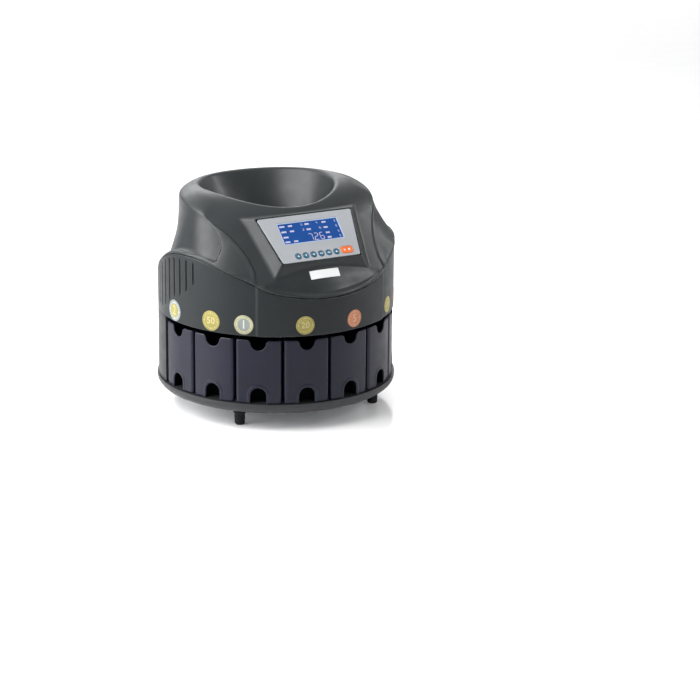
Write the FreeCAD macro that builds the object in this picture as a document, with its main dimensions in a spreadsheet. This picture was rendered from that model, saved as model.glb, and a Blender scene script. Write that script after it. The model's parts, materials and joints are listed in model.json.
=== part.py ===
# Desktop coin sorting machine: a round machine with a hopper on top, a sloping
# control panel, a ring of eight pull-out coin drawers and a rotating sorting disc.
# Units: millimetres. +Z up, front of the machine towards -Y, origin on the
# standing surface under the drum's axis.
import FreeCAD, Part
import math
import os
import Sketcher
from FreeCAD import Placement, Rotation, Vector

doc = FreeCAD.newDocument("coin_sorter")
sheet = doc.addObject("Spreadsheet::Sheet", "Params")

# ---------------------------------------------------------------- dimensions
DIMS = [
    ("drum_radius", 143.0), ("drum_wall", 3.0),
    ("base_radius", 145.0), ("tray_top", 33.0), ("tray_bottom", 20.5), ("tray_plate", 3.0),
    ("skirt_radius", 134.0), ("plate_radius", 131.0), ("plate_thick", 1.5),
    ("foot_circle", 122.0), ("foot_angle", 47.3), ("foot_flange", 8.0), ("foot_stem", 6.0),
    ("foot_step", 13.5),
    ("drawer_pitch", 23.45), ("drawer_gap", 1.0), ("drawer_front", 142.0), ("drawer_back", 66.0),
    ("drawer_bottom", 33.5), ("drawer_top", 111.0), ("drawer_wall", 2.2), ("drawer_floor", 2.0),
    ("side_angle", 1.15),
    ("notch_radius", 9.0), ("notch_depth", 12.5), ("arch_radius", 9.4), ("arch_height", 18.8),
    ("arch_depth", 14.0), ("arch_wall", 2.0),
    ("band_bottom", 116.0), ("bay_half", 94.3), ("front_proud", 1.5), ("front_half", 34.5),
    ("deck_bottom", 118.0), ("deck_thick", 3.0), ("deck_radius", 139.7),
    ("slot_outer", 130.0), ("slot_length", 34.0), ("slot_play", 0.6),
    ("guide_inner", 131.5), ("guide_outer", 134.5), ("guide_height", 12.0),
    ("core_outer", 61.0), ("core_wall", 2.5),
    ("shaft_radius", 5.0), ("bush_outer", 8.0), ("bush_play", 0.05),
    ("gear_module", 1.0), ("gear_teeth", 60.0), ("pinion_teeth", 15.0), ("gear_bottom", 104.0),
    ("gear_width", 6.0), ("motor_radius", 18.0), ("motor_height", 47.0), ("gear_plate_z", 97.0),
    ("gear_plate_thick", 3.0),
    ("disc_radius", 96.0), ("disc_bottom", 121.6), ("disc_thick", 3.0), ("finger_tip", 129.0),
    ("finger_width", 12.0),
    ("rim_z", 264.5), ("rim_radius", 115.5), ("shell", 3.0),
    ("bowl_radius", 86.5), ("bowl_offset", 25.0), ("throat_radius", 56.0), ("throat_z", 129.0),
    ("crown_radius", 300.0), ("slope_tilt", 45.8), ("slope_y", -72.3), ("slope_z", 243.1), ("panel_tilt", 42.0), ("panel_y", -96.15), ("panel_z", 221.6),
    ("panel_height", 64.2), ("panel_top_half", 62.0), ("panel_bottom_half", 50.5),
    ("panel_thick", 2.0), ("lcd_width", 80.0), ("lcd_height", 30.5), ("lcd_y", 8.0),
    ("key_radius", 4.0), ("key_y", -24.5), ("key_pitch", 10.05), ("key_x", -28.5),
    ("key_proud", 0.9), ("key_play", 0.2), ("start_x", 36.0), ("start_width", 15.5), ("start_height", 9.5),
    ("seam", 0.5), ("flange_thick", 3.5), ("flange_radius", 142.5), ("flange_inner", 119.5),
    ("hinge_y", 140.0), ("hinge_z", 152.8), ("barrel_radius", 4.4), ("pin_radius", 1.5),
    ("sticker_z", 129.5), ("sticker_thick", 0.35),
    ("switch_angle", 15.0), ("inlet_z", 70.0), ("fit_gap", 0.02), ("label_width", 38.0), ("label_height", 10.2),
]
for row, (alias, value) in enumerate(DIMS, 1):
    sheet.set("A%d" % row, alias)
    sheet.set("B%d" % row, repr(value))
    sheet.setAlias("B%d" % row, alias)
doc.recompute()


class Q:
    """A dimension that carries its number and its spreadsheet expression."""

    def __init__(self, v, e):
        self.v, self.e = float(v), e

    def __add__(self, o):
        o = q(o)
        return Q(self.v + o.v, "(%s + %s)" % (self.e, o.e))

    def __radd__(self, o):
        return q(o) + self

    def __sub__(self, o):
        o = q(o)
        return Q(self.v - o.v, "(%s - %s)" % (self.e, o.e))

    def __rsub__(self, o):
        return q(o) - self

    def __mul__(self, o):
        o = q(o)
        return Q(self.v * o.v, "(%s * %s)" % (self.e, o.e))

    def __rmul__(self, o):
        return q(o) * self

    def __truediv__(self, o):
        o = q(o)
        return Q(self.v / o.v, "(%s / %s)" % (self.e, o.e))

    def __neg__(self):
        return Q(-self.v, "(0 - %s)" % self.e)


def q(x):
    return x if isinstance(x, Q) else Q(x, repr(float(x)))


class Dim:
    def __getattr__(self, name):
        return Q(sheet.get(name), "Params." + name)


D = Dim()
count = [0]


def uid(base):
    count[0] += 1
    return "%s_%03d" % (base, count[0])


def bind(o, prop, value):
    value = q(value)
    if value.e.startswith("Params") or "Params" in value.e:
        o.setExpression(prop, value.e)
    else:
        parts = prop.split(".")
        if len(parts) == 1:
            setattr(o, prop, value.v)


def place(o, x=0, y=0, z=0, rot=None):
    x, y, z = q(x), q(y), q(z)
    o.Placement = Placement(Vector(x.v, y.v, z.v), rot or Rotation())
    for axis, value in (("x", x), ("y", y), ("z", z)):
        if "Params" in value.e:
            o.setExpression("Placement.Base." + axis, value.e)
    return o


def cyl(r, h, x=0, y=0, z=0, rot=None, angle=None):
    o = doc.addObject("Part::Cylinder", uid("cyl"))
    bind(o, "Radius", r)
    bind(o, "Height", h)
    if angle is not None:
        bind(o, "Angle", angle)
    return place(o, x, y, z, rot)


def box(lx, ly, lz, x=0, y=0, z=0, rot=None):
    o = doc.addObject("Part::Box", uid("box"))
    bind(o, "Length", lx)
    bind(o, "Width", ly)
    bind(o, "Height", lz)
    return place(o, x, y, z, rot)


def fuse(*shapes):
    o = doc.addObject("Part::MultiFuse", uid("fuse"))
    o.Shapes = list(shapes)
    return o


def common(*shapes):
    o = doc.addObject("Part::MultiCommon", uid("common"))
    o.Shapes = list(shapes)
    return o


def cut(base, *tools):
    tool = tools[0] if len(tools) == 1 else fuse(*tools)
    o = doc.addObject("Part::Cut", uid("cut"))
    o.Base, o.Tool = base, tool
    return o


def tube(r_out, r_in, h, z, x=0, y=0):
    h, z = q(h), q(z)
    return cut(cyl(r_out, h, x, y, z), cyl(r_in, h + 2, x, y, z - 1))


def group(*shapes):
    """Separate identical solids kept as one sub-part."""
    o = doc.addObject("Part::Compound", uid("group"))
    o.Links = list(shapes)
    return o


def RZ(deg):
    return Rotation(Vector(0, 0, 1), deg)


def at_angle(phi):
    """Rotation that carries the front direction (-Y) to the angle phi, positive to the right."""
    return RZ(phi)


PARTS = {}


def part(label, o):
    o.Label = label
    PARTS[label] = o
    return o


# ------------------------------------------------------------ sketch helpers
def plane_of(body, role):
    for f in body.Origin.OriginFeatures:
        if f.Role == role:
            return f


def new_body(name):
    return doc.addObject("PartDesign::Body", uid(name))


def arc_through(a, m, b):
    """Counter-clockwise arc that joins a and b by way of m."""
    d = 2 * (a.x * (m.y - b.y) + m.x * (b.y - a.y) + b.x * (a.y - m.y))
    aa, mm, bb = a.x ** 2 + a.y ** 2, m.x ** 2 + m.y ** 2, b.x ** 2 + b.y ** 2
    c = Vector((aa * (m.y - b.y) + mm * (b.y - a.y) + bb * (a.y - m.y)) / d,
               (aa * (b.x - m.x) + mm * (a.x - b.x) + bb * (m.x - a.x)) / d, 0)
    full = 2 * math.pi
    t0, t1, tm = (math.atan2(p.y - c.y, p.x - c.x) for p in (a, b, m))
    if (tm - t0) % full > (t1 - t0) % full:
        t0, t1 = t1, t0
    return Part.ArcOfCircle(Part.Circle(c, Vector(0, 0, 1), (a - c).Length), t0, t0 + (t1 - t0) % full)


def sketch(body, role, points, arcs=None, lift=None):
    """Closed profile of straight edges; arcs maps an edge's number to a point it passes through."""
    sk = body.newObject("Sketcher::SketchObject", uid("profile"))
    sk.AttachmentSupport = [(plane_of(body, role), "")]
    sk.MapMode = "FlatFace"
    if lift is not None:
        sk.AttachmentOffset = Placement(Vector(0, 0, q(lift).v), Rotation())
        if "Params" in q(lift).e:
            sk.setExpression("AttachmentOffset.Base.z", q(lift).e)
    points = [(q(a), q(b)) for a, b in points]
    arcs = arcs or {}
    n = len(points)
    ends = []
    for i in range(n):
        a = Vector(points[i][0].v, points[i][1].v, 0)
        b = Vector(points[(i + 1) % n][0].v, points[(i + 1) % n][1].v, 0)
        if i in arcs:
            m = Vector(arcs[i][0], arcs[i][1], 0)
            g = sk.addGeometry(arc_through(a, m, b), False)
            geo = sk.Geometry[g]
            first = 1 if (geo.StartPoint - a).Length < 1e-6 else 2
            ends.append((g, first, 3 - first, geo.Radius))
        else:
            g = sk.addGeometry(Part.LineSegment(a, b), False)
            ends.append((g, 1, 2, None))
    for i in range(n):
        j = (i + 1) % n
        sk.addConstraint(Sketcher.Constraint("Coincident", ends[i][0], ends[i][2], ends[j][0], ends[j][1]))
    for i in range(n):
        g, s = ends[i][0], ends[i][1]
        for kind, axis, value in (("DistanceX", -2, points[i][0]), ("DistanceY", -1, points[i][1])):
            if abs(value.v) < 1e-9:
                sk.addConstraint(Sketcher.Constraint("PointOnObject", g, s, axis))
            else:
                k = sk.addConstraint(Sketcher.Constraint(kind, -1, 1, g, s, value.v))
                if "Params" in value.e:
                    sk.setExpression("Constraints[%d]" % k, value.e)
    for g, s, e, radius in ends:
        if radius is not None:
            sk.addConstraint(Sketcher.Constraint("Radius", g, radius))
    return sk


def revolve(name, points, arcs=None):
    body = new_body(name)
    sk = sketch(body, "XZ_Plane", points, arcs)
    f = body.newObject("PartDesign::Revolution", uid("revolution"))
    f.Profile = sk
    f.ReferenceAxis = (sk, ["V_Axis"])
    f.Angle = 360.0
    return body


def pad(name, points, height, arcs=None, role="XY_Plane", lift=None, body=None):
    body = body or new_body(name)
    sk = sketch(body, role, points, arcs, lift)
    f = body.newObject("PartDesign::Pad", uid("pad"))
    f.Profile = sk
    bind(f, "Length", height)
    return body


def pocket(body, points, depth, arcs=None, role="XY_Plane", lift=None, reverse=False):
    sk = sketch(body, role, points, arcs, lift)
    f = body.newObject("PartDesign::Pocket", uid("pocket"))
    f.Profile = sk
    bind(f, "Length", depth)
    f.Reversed = reverse
    return body


# --------------------------------------------------------------- parting line
# Height of the seam between the middle housing and the upper cover, by angle
# from the front: low under the panel, rising to the wings, falling to the rear.
SEAM = [(0, 159.0), (10, 160.0), (20, 163.4), (28, 168.2), (34, 173.6), (38, 178.6), (44, 184.6), (50, 189.4),
        (55, 193.2), (61, 197.3), (67, 200.2), (73, 201.0), (79, 200.4), (85, 198.2), (91, 193.6), (96, 187.8),
        (101, 181.2), (106, 174.6), (112, 167.2), (117, 161.8), (123, 157.2), (130, 154.4), (140, 152.9), (155, 152.5)]


def seam_edge(r, dz):
    angles = [(a, z) for a, z in SEAM] + [(180, 152.5)] + [(360 - a, z) for a, z in reversed(SEAM[1:])]
    pts = []
    for a, z in angles:
        t = math.radians(a)
        pts.append(Vector(r * math.sin(t), -r * math.cos(t), z + dz))
    curve = Part.BSplineCurve()
    curve.interpolate(Points=pts, PeriodicFlag=True)
    return curve.toShape()


def seam_solid(r_in, r_out, dz, height):
    """Ring between two radii whose top (or bottom) follows the seam."""
    face = Part.makeRuledSurface(seam_edge(r_in, dz), seam_edge(r_out, dz))
    return face.extrude(Vector(0, 0, height))


def feature(shape, name="shape"):
    o = doc.addObject("Part::Feature", uid(name))
    o.Shape = shape
    return o


# ---------------------------------------------------------------- base group
tray = revolve("tray", [(0, D.tray_top), (D.base_radius, D.tray_top), (D.base_radius, D.tray_top - 2.5),
                        (D.skirt_radius, D.tray_bottom), (D.skirt_radius - 2.5, D.tray_bottom),
                        (D.base_radius - 4.5, D.tray_top - D.tray_plate), (0, D.tray_top - D.tray_plate)],
               arcs={2: (142.2, 23.4)})
ribs = []
for k in range(-4, 5):
    a = k * D.drawer_pitch.v
    t = math.radians(a)
    # low guide rib between two drawers
    ribs.append(box(1.2, 66.0, 2.5, 72.0 * math.sin(t) - 0.6 * math.cos(t), -72.0 * math.cos(t) - 0.6 * math.sin(t), D.tray_top,
                    RZ(a) * Rotation(Vector(1, 0, 0), 0)))
    ribs[-1].Placement = Placement(Vector(0, 0, D.tray_top.v), RZ(a)) * Placement(Vector(-0.6, -138.0, 0), Rotation())
bosses, boss_holes, screw_heads, plate_holes = [], [], [], []
for sx in (-1, 1):
    for sy in (-1, 1):
        x, y = 70.0 * sx, 70.0 * sy
        bosses.append(cyl(4.0, D.tray_top - D.tray_plate - D.tray_bottom - D.plate_thick, x, y, D.tray_bottom + D.plate_thick))
        boss_holes.append(cyl(1.55, 7.5, x, y, D.tray_bottom + D.plate_thick - 1))
        plate_holes.append(cyl(1.7, 4.0, x, y, D.tray_bottom - 1))
        head = cyl(3.2, 1.8, x, y, D.tray_bottom - 1.8)
        screw_heads.append(fuse(head, cyl(1.5, 6.0, x, y, D.tray_bottom - 0.5)))
part("base_tray", cut(fuse(tray, *(ribs + bosses)), *boss_holes))
part("bottom_plate", cut(cyl(D.plate_radius, D.plate_thick, 0, 0, D.tray_bottom), *plate_holes))
part("base_screws", group(*screw_heads))

feet = []
for a in (-1, 1):
    for back in (0, 1):
        phi = a * (D.foot_angle.v if not back else 180.0 - D.foot_angle.v)
        t = math.radians(phi)
        foot = revolve("foot", [(0, 0), (D.foot_stem - 1.2, 0), (D.foot_stem, 1.2), (D.foot_stem + 0.5, D.foot_step),
                                (D.foot_flange, D.foot_step + 1.5), (D.foot_flange, D.tray_bottom), (0, D.tray_bottom)])
        foot.Placement = Placement(Vector(D.foot_circle.v * math.sin(t), -D.foot_circle.v * math.cos(t), 0), Rotation())
        bind(foot, "Placement.Base.x", D.foot_circle * math.sin(t))
        bind(foot, "Placement.Base.y", D.foot_circle * (-math.cos(t)))
        feet.append(foot)
part("rubber_feet", group(*feet))

part("core_tube", fuse(tube(D.core_outer, D.core_outer - D.core_wall, D.deck_bottom - D.tray_top, D.tray_top),
                       tube(D.core_outer - 1.0, D.core_outer - 5.0, 3.5, D.gear_plate_z - 3.5)))
walls = []
for s in (-1, 1):
    w = box(2.0, 78.0, D.band_bottom - D.tray_top - D.fit_gap)
    w.Placement = Placement(Vector(0, 0, D.tray_top.v), RZ(s * (D.bay_half.v + 1.2))) * Placement(Vector(-1.0, -139.5, 0), Rotation())
    walls.append(w)
part("bay_walls", group(*walls))

# ------------------------------------------------------------- middle housing
deck_bolts, deck_holes = [], []
for a in (110.0, 150.0, 210.0, 250.0):
    t = math.radians(a)
    x, y = 137.6 * math.sin(t), -137.6 * math.cos(t)
    deck_holes.append(cyl(1.3, 8.0, x, y, D.deck_bottom - 2))
    deck_bolts.append(fuse(cyl(2.0, 1.6, x, y, D.deck_bottom + D.deck_thick), cyl(1.2, 8.0, x, y, D.deck_bottom + D.deck_thick - 7.5)))
below = feature(seam_solid(100.0, 150.0, 0.0, -175.0), "below_seam")
ring = tube(D.drum_radius, D.drum_radius - D.drum_wall, 180.0, D.tray_top + 0.2)
opening = cyl(160.0, D.band_bottom - D.tray_top + 2, 0, 0, D.tray_top - 2, RZ(-90.0 - D.bay_half.v), D.bay_half * 2)
ledge = tube(D.drum_radius - D.drum_wall + 0.5, D.drum_radius - 7, D.deck_bottom - D.band_bottom, D.band_bottom)
front = cut(cyl(D.drum_radius + D.front_proud, 90.0, 0, 0, D.band_bottom, RZ(-90.0 - D.front_half.v), D.front_half * 2),
            cyl(D.drum_radius - 1.0, 100.0, 0, 0, D.band_bottom - 1))
shell = common(fuse(cut(ring, opening), ledge, front), below)
grooves = []
GROOVES = [(69.6, 168.0), (74.4, 158.0), (79.2, 151.0), (84.0, 146.5), (88.8, 140.0), (93.6, 131.0), (98.4, 127.0), (103.2, 127.0),
           (108.0, 127.0)]
TOPS = [195.5, 196.5, 196.0, 194.5, 191.5, 186.5, 180.5, 174.0, 167.5]
for (phi, low), high in zip(GROOVES, TOPS):
    for s in (-1, 1):
        g = box(2.4, 6.0, high - low)
        g.Placement = Placement(Vector(0, 0, low), RZ(s * phi)) * Placement(Vector(-1.2, -D.drum_radius.v - 5.0 + 1.2 - 0.2, 0), Rotation())
        grooves.append(g)
inlet_cuts = []
for turn, w, h in ((0.0, 27.6, 20.6), (-D.switch_angle.v, 19.6, 13.4)):
    b = box(w, 12.0, h)
    b.Placement = Placement(Vector(0, 0, D.inlet_z.v), RZ(180.0 + turn)) * Placement(Vector(-w / 2, -150.0, -h / 2), Rotation())
    inlet_cuts.append(b)
RX90 = Rotation(Vector(0, 1, 0), 90)
KN = [(-40.0, -16.0), (-15.6, 15.6), (16.0, 40.0)]


def along_x(r, x0, x1):
    return cyl(r, x1 - x0, x0, D.hinge_y, D.hinge_z, RX90)


hood_gaps = [along_x(D.barrel_radius + 0.6, KN[0][0] - 0.4, KN[0][1] + 0.2), along_x(D.barrel_radius + 0.6, KN[2][0] - 0.2, KN[2][1] + 0.4)]
knuckle = fuse(along_x(D.barrel_radius, KN[1][0], KN[1][1]), box(31.2, 3.0, 12.0, -15.6, 137.6, 138.0))
middle = cut(fuse(cut(shell, *(grooves + inlet_cuts + hood_gaps + deck_holes)), knuckle), along_x(D.pin_radius + 0.05, -45.0, 45.0))
part("middle_housing", middle)
part("hinge_pin", along_x(D.pin_radius, -40.0, 40.0))

# ------------------------------------------------------------------ coin deck
COINS = [25.75, 24.25, 23.25, 22.25, 21.25, 19.75, 18.75, 16.25]
slots, sensors = [], []
for i, dia in enumerate(COINS):
    phi = (i - 3.5) * D.drawer_pitch.v
    width = dia + D.slot_play.v
    b = box(D.slot_length, width, 8.0)
    b.Placement = Placement(Vector(0, 0, D.deck_bottom.v - 2), RZ(phi)) * Placement(Vector(-D.slot_length.v / 2, -D.slot_outer.v, 0), Rotation())
    slots.append(b)
    sens = box(10.0, 6.0, 4.5)
    sens.Placement = Placement(Vector(0, 0, D.deck_bottom.v - 4.5), RZ(phi)) * Placement(Vector(-5.0, -D.slot_outer.v + 28.0, 0), Rotation())
    sensors.append(sens)
deck = cut(cyl(D.deck_radius, D.deck_thick, 0, 0, D.deck_bottom), cyl(D.bush_outer + D.fit_gap, 12.0, 0, 0, D.deck_bottom - 4), *(slots + deck_holes))
part("sorting_deck", deck)
part("deck_screws", group(*deck_bolts))
part("coin_sensors", group(*sensors))
part("guide_ring", tube(D.guide_outer, D.guide_inner, 3.5, D.deck_bottom + D.deck_thick))

# ----------------------------------------------------------------- drive train
part("gear_plate", cut(cyl(D.core_outer - D.core_wall - 0.2, D.gear_plate_thick, 0, 0, D.gear_plate_z),
                       cyl(D.bush_outer + D.fit_gap, 12.0, 0, 0, D.gear_plate_z - 4), cyl(6.0, 12.0, D.gear_module * 37.5, 0, D.gear_plate_z - 4)))
part("upper_bush", cut(fuse(cyl(D.bush_outer, 6.0, 0, 0, D.deck_bottom - 3), cyl(11.0, 3.0, 0, 0, D.deck_bottom - 3)),
                       cyl(D.shaft_radius + D.bush_play, 12.0, 0, 0, D.deck_bottom - 6)))
part("lower_bush", cut(fuse(cyl(D.bush_outer, 6.0, 0, 0, D.gear_plate_z - 3), cyl(11.0, 3.0, 0, 0, D.gear_plate_z - 3)),
                       cyl(D.shaft_radius + D.bush_play, 12.0, 0, 0, D.gear_plate_z - 6)))
part("main_shaft", cut(cyl(D.shaft_radius, 50.0, 0, 0, D.gear_plate_z - 7), tube(D.shaft_radius + 1, D.shaft_radius - 1, 1.1, D.gear_plate_z - 5.2)))
part("shaft_clip", tube(D.shaft_radius + 2.5, D.shaft_radius - 0.9, 1.0, D.gear_plate_z - 5.15))


def gear_shape(teeth, module, z, width, bore, x=0.0, phase=0.0, backlash=0.16):
    """Spur gear with 20 degree involute flanks."""
    rp, ra, rf = module * teeth / 2, module * teeth / 2 + 0.92 * module, module * teeth / 2 - 1.2 * module
    rb = rp * math.cos(math.radians(20))
    half = math.pi / (2 * teeth) - backlash / (2 * rp)
    inv = lambda r: math.sqrt(max(0.0, (r / rb) ** 2 - 1)) - math.atan(math.sqrt(max(0.0, (r / rb) ** 2 - 1)))
    pts = []
    for k in range(int(teeth)):
        c = phase + 2 * math.pi * k / teeth
        rs = [max(rb, rf) + (ra - max(rb, rf)) * i / 4.0 for i in range(5)]
        left = [(r, half + inv(rp) - inv(r)) for r in rs]
        if rf < rb:
            left.insert(0, (rf, left[0][1]))
        for r, d in left:
            pts.append((r, c - d))
        for r, d in reversed(left):
            pts.append((r, c + d))
    vs = [Vector(x + r * math.cos(a), r * math.sin(a), z) for r, a in pts]
    face = Part.Face(Part.makePolygon(vs + [vs[0]]))
    solid = face.extrude(Vector(0, 0, width))
    return solid.cut(Part.makeCylinder(bore, width + 2, Vector(x, 0, z - 1)))


m = sheet.get("gear_module")
zg, zp = sheet.get("gear_teeth"), sheet.get("pinion_teeth")
centre = m * (zg + zp) / 2
part("drive_gear", feature(gear_shape(zg, m, sheet.get("gear_bottom"), sheet.get("gear_width"), sheet.get("shaft_radius") + sheet.get("fit_gap"), phase=0.0), "drive_gear"))
part("motor_pinion", feature(gear_shape(zp, m, sheet.get("gear_bottom") - 0.5, sheet.get("gear_width") + 1, 2.0 + sheet.get("fit_gap"), x=centre,
                                        phase=math.pi + math.pi / zp), "motor_pinion"))
part("motor_shaft", cyl(2.0, 22.0, D.gear_module * 37.5, 0, D.gear_plate_z - 8.0))
motor = cut(fuse(cyl(D.motor_radius, D.motor_height, D.gear_module * 37.5, 0, D.gear_plate_z - D.motor_height),
                 cyl(5.5, 2.0, D.gear_module * 37.5, 0, D.gear_plate_z)),
            cyl(2.05, 14.0, D.gear_module * 37.5, 0, D.gear_plate_z - 8.2))
part("drive_motor", motor)

rotor = revolve("rotor", [(D.shaft_radius + D.fit_gap, D.disc_bottom), (D.disc_radius, D.disc_bottom), (D.disc_radius, D.disc_bottom + D.disc_thick),
                          (34.0, D.disc_bottom + D.disc_thick), (16.0, D.disc_bottom + 15.0), (D.shaft_radius + D.fit_gap, D.disc_bottom + 15.0)],
                arcs={3: (22.0, 129.5)})
fingers = []
for k in range(6):
    f = box(D.finger_width, D.finger_tip - 88.0, D.disc_thick + 0.6)
    f.Placement = Placement(Vector(0, 0, D.disc_bottom.v), RZ(60.0 * k + 11.7)) * Placement(Vector(-D.finger_width.v / 2, -D.finger_tip.v, 0), Rotation())
    fingers.append(f)
part("sorting_disc", common(fuse(rotor, *fingers), cyl(D.finger_tip, 40.0, 0, 0, D.disc_bottom - 2)))
part("disc_nut", fuse(cyl(9.0, 3.0, 0, 0, D.disc_bottom + 18.4), cut(cyl(12.0, 3.4, 0, 0, D.disc_bottom + 15.0), cyl(D.shaft_radius + D.fit_gap, 3.4, 0, 0, D.disc_bottom + 15.0))))

# --------------------------------------------------------------- electronics
part("power_supply", fuse(box(70.0, 30.0, 1.6, -35.0, 66.0, D.tray_top + 4.0), box(26.0, 22.0, 24.0, -30.0, 70.0, D.tray_top + 5.6),
                          cyl(7.0, 22.0, 12.0, 81.0, D.tray_top + 5.6), box(12.0, 20.0, 14.0, 21.0, 71.0, D.tray_top + 5.6),
                          cyl(2.5, 4.0, -31.0, 70.0, D.tray_top), cyl(2.5, 4.0, 31.0, 70.0, D.tray_top),
                          cyl(2.5, 4.0, -31.0, 92.0, D.tray_top), cyl(2.5, 4.0, 31.0, 92.0, D.tray_top)))
part("main_board", fuse(box(90.0, 1.6, 52.0, -45.0, 104.0, D.tray_top), box(20.0, 6.0, 20.0, -10.0, 105.6, D.tray_top + 22.0),
                        box(26.0, 8.0, 8.0, -38.0, 96.0, D.tray_top + 34.0), box(26.0, 8.0, 8.0, 12.0, 96.0, D.tray_top + 34.0)))
rot_in = RZ(180.0)
rot_sw = RZ(180.0 - D.switch_angle.v)


def rear_box(rot, w, depth, h, r_outer, dz=0.0, dx=0.0):
    b = box(w, depth, h)
    b.Placement = Placement(Vector(0, 0, D.inlet_z.v + dz), rot) * Placement(Vector(dx - w / 2, -r_outer, -h / 2), Rotation())
    return b


part("power_inlet", cut(fuse(rear_box(rot_in, 27.0, 24.0, 20.0, 143.6), rear_box(rot_in, 31.0, 1.4, 24.0, 144.7)),
                        rear_box(rot_in, 24.0, 18.0, 16.5, 145.0)))
part("inlet_blades", group(rear_box(rot_in, 2.0, 10.9, 4.0, 137.9, 2.5), rear_box(rot_in, 2.0, 10.9, 4.0, 137.9, -2.0, -7.0),
                           rear_box(rot_in, 2.0, 10.9, 4.0, 137.9, -2.0, 7.0)))
rocker_pivot = 139.6


def cross_pin(r, half):
    """Round pin on the rocker's pivot line."""
    o = cyl(r, 2 * half)
    o.Placement = Placement(Vector(0, 0, D.inlet_z.v), rot_sw) * Placement(Vector(-half, -rocker_pivot, 0), Rotation(Vector(0, 1, 0), 90))
    return o


part("switch_frame", cut(fuse(rear_box(rot_sw, 19.0, 16.0, 12.8, 143.6), rear_box(rot_sw, 23.0, 1.4, 16.6, 144.7)),
                         rear_box(rot_sw, 16.0, 11.0, 10.0, 145.0), cross_pin(1.25, 8.9)))
# rocker: key with a V face that tilts about a cross pin, stored switched off
rocker = pad("rocker", [(-4.0, 3.4), (-4.0, -5.4), (0, -4.0), (4.0, -5.4), (4.0, 3.4)], 15.2)
rocker.Placement = Placement(Vector(0, 0, D.inlet_z.v), rot_sw) * Placement(Vector(-7.6, -rocker_pivot, 0), Rotation(Vector(0, 1, 0), 90)) \
    * Placement(Vector(0, 0, 0), Rotation(Vector(0, 0, 1), 8.0))
part("power_rocker", fuse(rocker, cross_pin(1.2, 8.7)))

# -------------------------------------------------------------- coin drawers
for i in range(8):
    phi = (i - 3.5) * D.drawer_pitch.v
    turn = RZ(phi)
    span = D.drawer_pitch - D.drawer_gap
    sector = cut(cyl(D.drawer_front, D.drawer_top - D.drawer_bottom, 0, 0, D.drawer_bottom, RZ(phi - 90.0 - span.v / 2), span),
                 cyl(D.drawer_back, 120.0, 0, 0, D.drawer_bottom - 5))
    inner_span = span - 2 * D.side_angle
    hollow = cut(cyl(D.drawer_front - D.drawer_wall, 100.0, 0, 0, D.drawer_bottom + D.drawer_floor, RZ(phi - 90.0 - inner_span.v / 2), inner_span),
                 cyl(D.drawer_back + D.drawer_wall, 120.0, 0, 0, D.drawer_bottom - 5))
    # top finger notch: a U cut into the front wall
    base_pl = Placement(Vector(0, 0, 0), turn)
    n1 = cyl(D.notch_radius, 12.0)
    n1.Placement = base_pl * Placement(Vector(0, -D.drawer_front.v + 7.0, D.drawer_top.v - D.notch_depth.v + D.notch_radius.v), Rotation(Vector(1, 0, 0), 90))
    n2 = box(2 * D.notch_radius, 12.0, 20.0)
    n2.Placement = base_pl * Placement(Vector(-D.notch_radius.v, -D.drawer_front.v - 5.0, D.drawer_top.v - D.notch_depth.v + D.notch_radius.v), Rotation())
    # finger pocket at the foot of the front: arch with its own back wall
    low = D.drawer_bottom.v
    ro = D.arch_radius.v + D.arch_wall.v
    top_c = low + D.arch_height.v - D.arch_radius.v
    p1 = cyl(D.arch_radius + D.arch_wall, D.arch_depth + D.arch_wall)
    p1.Placement = base_pl * Placement(Vector(0, -D.drawer_front.v + 1.0 + D.arch_depth.v + D.arch_wall.v, top_c), Rotation(Vector(1, 0, 0), 90))
    p2 = box(2 * (D.arch_radius + D.arch_wall), D.arch_depth + D.arch_wall, top_c - low)
    p2.Placement = base_pl * Placement(Vector(-ro, -D.drawer_front.v + 1.0, low), Rotation())
    c1 = cyl(D.arch_radius, D.arch_depth + 8)
    c1.Placement = base_pl * Placement(Vector(0, -D.drawer_front.v + 1.0 + D.arch_depth.v, top_c), Rotation(Vector(1, 0, 0), 90))
    c2 = box(2 * D.arch_radius, D.arch_depth + 8, top_c - low + 5)
    c2.Placement = base_pl * Placement(Vector(-D.arch_radius.v, -D.drawer_front.v - 7.0, low - 5), Rotation())
    drawer = cut(fuse(cut(sector, hollow, n1, n2), common(fuse(p1, p2), sector)), c1, c2)
    part("coin_drawer_%d" % (i + 1), drawer)

# --------------------------------------------------------------- upper cover
# Flared tower of revolution, cut in front by a large-radius crowned slope.
above = feature(seam_solid(20.0, 160.0, D.seam.v, 140.0), "above_seam")
FL = [(116.0, 242.5), (119.0, 214.0), (124.0, 190.0), (131.0, 168.0), (140.0, 152.0)]


def flare(inset, top):
    pts = [(0, 120.0), (q(140.0 - inset), 120.0)] + [(r - inset, z) for r, z in reversed(FL)] + \
          [(94.0, top), (0, top)]
    n = len(pts)
    mid = math.radians(45.0)
    r0 = 22.0 - inset
    return revolve("flare", [(p[0], p[1]) for p in pts], arcs={n - 3: (94.0 + r0 * math.cos(mid), q(top).v - r0 + r0 * math.sin(mid))})


def fill(inset):
    r = D.drum_radius + 0.0 - inset
    a = math.radians(36.5)
    x, y = r.v * math.sin(a), -r.v * math.cos(a)
    return pad("fill", [(-x, y), (x, y), (105.0 - inset, -60.0), (60.0, -20.0), (-60.0, -20.0), (-105.0 + inset, -60.0)], 120.0,
               arcs={0: (0.0, -r.v)}, lift=q(140.0))


tilt = Rotation(Vector(1, 0, 0), D.panel_tilt.v)


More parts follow.
